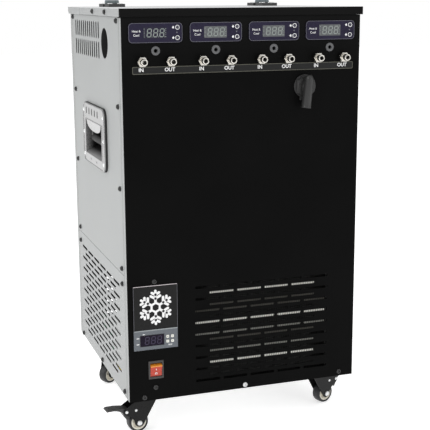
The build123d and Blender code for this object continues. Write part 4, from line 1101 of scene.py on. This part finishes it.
def wheel(caster):
    """A rubber tyre with round shoulders on a cream core with a stepped hub."""
    shape = Shape()
    hub = caster.at(caster.trail / MM, 0, 0)
    tyre = [
        (13.4, -7.4), (14.2, -8.1), (15.6, -8.5), (16.9, -7.9), (17.6, -6.4), (17.95, -3.5), (18.0, 0),
        (17.95, 3.5), (17.6, 6.4), (16.9, 7.9), (15.6, 8.5), (14.2, 8.1), (13.4, 7.4),
    ]
    shape.lathe(mm(tyre), hub, caster.across, 56, 0)
    for side in (-1, 1):
        core = [
            (13.45, 6.6), (13.4, 7.5), (12.9, 7.9), (11.6, 7.9), (11.0, 7.2), (10.6, 5.0), (6.4, 4.6),
            (6.2, 8.2), (5.6, 8.7), (3.1, 8.7), (3.1, 0),
        ]
        shape.lathe(mm(core), hub, caster.across * side, 56, 1)
        for spoke in range(6):
            turn = math.radians(60 * spoke)
            out = caster.along * math.cos(turn) + Z * math.sin(turn)
            width = out.cross(caster.across)
            outline = mm([(6.2, -0.7), (11.0, -0.7), (11.0, 0.7), (6.2, 0.7)])
            depth = 2.2 * MM * side
            start = hub + caster.across * side * 4.6 * MM
            corners = [start + out * u + width * v for u, v in outline]
            corners += [p + caster.across * depth for p in corners]
            faces = [(0, 1, 2, 3), (7, 6, 5, 4), (0, 4, 5, 1), (1, 5, 6, 2), (2, 6, 7, 3), (3, 7, 4, 0)]
            shape.add(corners, faces, 1)
    body = f"wheel_{caster.corner}"
    make(f"caster_{body}", shape, [tyre_rubber, core_cream], body, [body])


def brake(caster):
    """The foot pedal: a curved lever with a ribbed pad and a pointed shoe over the tyre."""
    shape = Shape()
    pin, lift = caster.trail / MM + PIN_AHEAD, PIN_UP
    lever = [
        (pin - 5.2, lift + 4), (pin + 5, lift + 6.3), (pin + 20, lift + 8.6), (pin + 21, lift + 5.0),
        (pin + 7, lift + 0.4), (pin + 4.3, lift - 7), (pin - 1, lift - 15.5), (pin - 6.4, lift - 13.2),
        (pin - 6.4, lift - 2),
    ]
    outline = mm(smooth_outline(lever, [3, 4, 1, 1, 4, 2, 1.2, 1.2, 3]))
    shape.prism(outline, caster.at(0, 8.8, 0), caster.along, Z, 17.6 * MM)
    pad = [
        (pin + 17, lift + 8.2), (pin + 32, lift + 8.6), (pin + 34.6, lift + 7.2),
        (pin + 34.8, lift + 4.6), (pin + 22, lift + 4.8), (pin + 17, lift + 3.6),
    ]
    outline = mm(smooth_outline(pad, 1.2))
    shape.prism(outline, caster.at(0, 8.9, 0), caster.along, Z, 17.8 * MM)
    for rib in range(4):
        middle = pin + 20.5 + rib * 3.6
        ridge = [
            (middle - 0.9, lift + 8.0), (middle - 0.6, lift + 9.0), (middle + 0.6, lift + 9.0),
            (middle + 0.9, lift + 8.0),
        ]
        shape.prism(mm(reversed(ridge)), caster.at(0, 7.8, 0), caster.along, Z, 15.6 * MM)
    body = f"brake_{caster.corner}"
    make(f"brake_pedal_{caster.corner}", shape, moulded_black, body, [body], 0.5 * MM, 3)


# ---------------------------------------------------------------- behind the vents
VENT_LOW, VENT_PITCH = 98.0, 10.19  # the lowest row of front vents and the rows' spacing, in millimetres
FIN_BRIGHT, FIN_MIDDLE, FIN_DIM = 3, 4, 5  # the finishes' numbers in the condenser
LIT_DROP = 3.4  # the camera looks down, so a vent shows what lies this much lower
# Vent rows whose fin edges glow, and how brightly: painted highlights.
LIT_ROWS = {
    3: FIN_BRIGHT, 5: FIN_MIDDLE, 7: FIN_DIM, 8: FIN_MIDDLE,
    10: FIN_BRIGHT, 12: FIN_DIM, 13: FIN_DIM, 15: FIN_BRIGHT,
}


def condenser_core():
    """Upright fins on rows of tube between end plates, with glowing fin edges in front as painted highlights
    and a dark sheet behind them as painted shade.
    """
    low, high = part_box("condenser")
    shape = Shape()
    pitch, thick = 3.3 * MM, 0.7 * MM
    count = int((high.x - low.x - 8 * MM) / pitch)
    first = (low.x + high.x) / 2 - (count - 1) * pitch / 2
    bottom, top = low.z + 4 * MM, high.z - 4 * MM
    fin_shade_sheet, near = low.y + 4.5 * MM, low.y + 1.2 * MM
    # A dark sheet across the fins, close behind their front edges: painted shade between the lit edges.
    shape.box((low.x + 3 * MM, fin_shade_sheet, bottom), (high.x - 3 * MM, fin_shade_sheet + 0.6 * MM, top), 0)
    for fin in range(count):
        x = first + fin * pitch
        shape.box((x - thick / 2, low.y + 2 * MM, bottom), (x + thick / 2, high.y - 2 * MM, top), 0)
        for row, finish in LIT_ROWS.items():
            z = (VENT_LOW + row * VENT_PITCH - LIT_DROP) * MM
            half = (1.6 if finish == FIN_BRIGHT else 1.3) * MM
            shape.box((x - 0.8 * MM, near, z - half), (x + 0.8 * MM, near + 1.2 * MM, z + half), finish)
            if finish == FIN_BRIGHT:
                start = (x - pitch / 2, near + 0.6 * MM, z - 0.4 * MM)
                shape.box(start, (x + pitch / 2, near + 1.2 * MM, z + 0.8 * MM), FIN_MIDDLE)
    for end in (low.x, high.x - 3 * MM):
        shape.box((end, low.y, low.z), (end + 3 * MM, high.y, high.z), 1)
    rows = 9
    for row in range(rows):
        z = low.z + (row + 0.5) * (high.z - low.z) / rows
        for lane in (0.28, 0.72):
            y = low.y + lane * (high.y - low.y)
            shape.tube([(low.x + 1 * MM, y, z), (high.x - 1 * MM, y, z)], 4.8 * MM, 16, False, 2)
    for row in range(rows - 1):
        end = high.x if row % 2 else low.x
        out = 1 if row % 2 else -1
        z = low.z + (row + 0.5) * (high.z - low.z) / rows
        step = (high.z - low.z) / rows
        bend = []
        for turn in range(9):
            angle = math.pi * turn / 8
            x = end + out * (math.sin(angle) * 2.6 * MM - 1 * MM)
            bend.append((x, (low.y + high.y) / 2, z + step / 2 - math.cos(angle) * step / 2))
        shape.tube(bend, 1.2 * MM, 10, False, 2)
    finishes = [fin_metal_and_shade, galvanised, copper, fin_bright, fin_middle, fin_dim]
    make("condenser_core", shape, finishes, "cabinet", ["condenser"])


def fan_rotor():
    """Five twisted blades with round tips on a domed hub."""
    hub_low, hub_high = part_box("fan_blades")
    axis = Vector(joints["fan"]["pos_m"])
    near, far = hub_low.y, hub_high.y
    shape = Shape()
    hub = [
        (3.05, far), (19, far), (20, far - 1 * MM), (20, near + 3 * MM), (17, near + 0.6 * MM),
        (3.05, near + 0.2 * MM), (3.05, far),
    ]
    shape.lathe([(r * MM, y - axis.y) for r, y in hub], axis, Y, 40)
    for blade in range(5):
        base = math.radians(72 * blade + 18)
        columns, rows, points = 9, 7, []
        for column in range(columns + 1):
            share = column / columns
            radius = (18 + 60 * share) * MM
            for row in range(rows + 1):
                across = (row / rows - 0.5) * (34 + 12 * math.sin(math.pi * share * 0.8)) * MM
                spin = base + across / radius * 0.88 + 0.25 * share
                y = (near + far) / 2 + across * 0.34 - 2.5 * MM * math.cos(math.pi * (row / rows - 0.5))
                points.append((axis.x + math.cos(spin) * radius, y, axis.z + math.sin(spin) * radius))
        shape.slab(points, columns, rows, (0, BLADE_T, 0))
    make("fan_rotor", shape, dark_plastic, "fan", ["fan_blades"])


def compressor_details():
    """The weld seam round the shell, and the cover over its terminals."""
    low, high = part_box("compressor")
    middle = Vector(((low.x + high.x) / 2, (low.y + high.y) / 2, 0))
    shape = Shape()
    seam = [(67.6, 168), (69.2, 168.6), (70.2, 170.2), (70.2, 171.8), (69.2, 173.4), (67.6, 174)]
    shape.lathe(mm(seam), middle, Z, 72)
    shape.box(
        (middle.x - 84 * MM, middle.y - 22 * MM, 150 * MM),
        (middle.x - 64 * MM, middle.y + 22 * MM, 205 * MM), 1,
    )
    make("compressor_details", shape, [enamel, dark_plastic], "cabinet", bevel=1.2 * MM)


def inner_wires():
    """A green, a yellow and a red wire by the terminal box; the last two run to the switch."""
    earth = surface("wire_green", (0.02, 0.22, 0.10), (0.03, 0.34, 0.17), (0.3, 0.4), grain=300)
    yellow = surface("wire_yellow", (0.62, 0.48, 0.05), (0.75, 0.60, 0.09), (0.3, 0.4), grain=300)
    red = surface("wire_red", (0.42, 0.03, 0.02), (0.58, 0.05, 0.03), (0.3, 0.4), grain=300)
    routes = {
        "wire_earth": (earth, [
            (-184, 34, 118), (-196, 14, 150), (-198, 2, 166), (-198, -20, 172), (-198, -42, 167),
            (-198, -54, 145), (-197, -60, 124), (-190, -66, 104), (-178, -78, 92),
        ]),
        "wire_yellow": (yellow, [
            (-186, -70, 98), (-197, -86, 104), (-198, -102, 105), (-194, -120, 102), (-176, -162, 118),
            (-162, -170, 124),
        ]),
        "wire_red": (red, [
            (-186, -74, 92), (-197, -92, 97), (-198, -110, 99), (-192, -140, 100), (-172, -158, 110),
            (-154, -170, 122),
        ]),
    }
    for name, (finish, route) in routes.items():
        points = []
        knots = [Vector(p) * MM for p in route]
        padded = [knots[0], *knots, knots[-1]]
        for i in range(1, len(padded) - 2):
            for step in range(8):
                t = step / 8
                a, b, c, d = padded[i - 1], padded[i], padded[i + 1], padded[i + 2]
                point = b * 2 + (c - a) * t + (a * 2 - b * 5 + c * 4 - d) * t * t
                points.append((point + (b * 3 - a - c * 3 + d) * t ** 3) * 0.5)
        points.append(knots[-1])
        make(name, Shape().tube(points, 1.3 * MM, 12), finish, "cabinet")


# ---------------------------------------------------------------- the CAD parts that show
def dress_parts():
    """Each finish, its edges' softening in millimetres, and the CAD nodes that take them."""
    groups = (
        (black_coat, 0.35, "front_panel rear_panel"),
        (black_coat, 0.0, "lid_trim"),
        (side_paint, 0.3, "side_panels side_grilles chassis_frame"),
        (lid_paint, 0.5, "lid rear_top_strip"),
        (galvanised, 0.3, "base_pan"),
        (steel, 0.4, "reservoir_tank"),
        (foam, 1.0, "tank_insulation"),
        (foam, 1.5, "lid_insulation"),
        (copper, 0.0, "evaporator_coil refrigerant_lines"),
        (enamel, 0.0, "compressor"),
        (enamel, 0.4, "fan_shroud"),
        (pump_plastic, 1.2, "circulation_pumps"),
        (clear_hose, 0.0, "pump_hoses"),
        (box_plastic, 1.5, "control_box"),
        (overlay, 0.35, "zone_controllers"),
        (bezel_grey, 0.0, "main_controller"),
        (badge_gloss, 0.0, "badge_plate"),
        (switch_shell, 0.3, "switch_housing"),
        (rocker_red, 0.7, "power_rocker"),
        (moulded_black, 0.6, "elbow_bushing"),
        (moulded_black, 0.0, "elbow_spout"),
        (moulded_black, 0.5, "cord_gland"),
        (hinge_steel, 0.5, "hinge_base_leaves hinge_lid_leaves"),
        (plate_with_painted_shade, 0.4, "caster_plates"),
        (dish_steel, 0.3, "handle_dishes"),
        (key_white, 0.4, "main_key_1 main_key_2 main_key_3 main_key_4"),
    )
    for finish, bevel, names in groups:
        for node in names.split():
            dress(node, finish, bevel * MM)
    for number in range(1, 5):
        for place in ("upper", "lower"):
            dress(f"zone_{number}_key_{place}", key_dark)


look()
studio()
floor()
dress_parts()
for zone in zones:
    zone_display(*zone)
    for place in ("upper", "lower"):
        zone_key_ring(zone[0], place)
fittings()
grommets()
port_strip()
badge_mark()
main_face()
rocker_marks()
panel_screw_heads()
lid_screws()
for side, name in ((-1, "left"), (1, "right")):
    dish_trim(side, f"dish_trim_{name}")
    bail(f"handle_{name}")
for corner in CORNERS:
    caster = Caster(corner)
    fork(caster)
    wheel(caster)
    if corner.startswith("front"):
        brake(caster)
side_ports()
side_seams()
condenser_core()
fan_rotor()
compressor_details()
inner_wires()

bpy.context.scene.view_settings.view_transform = "Standard"
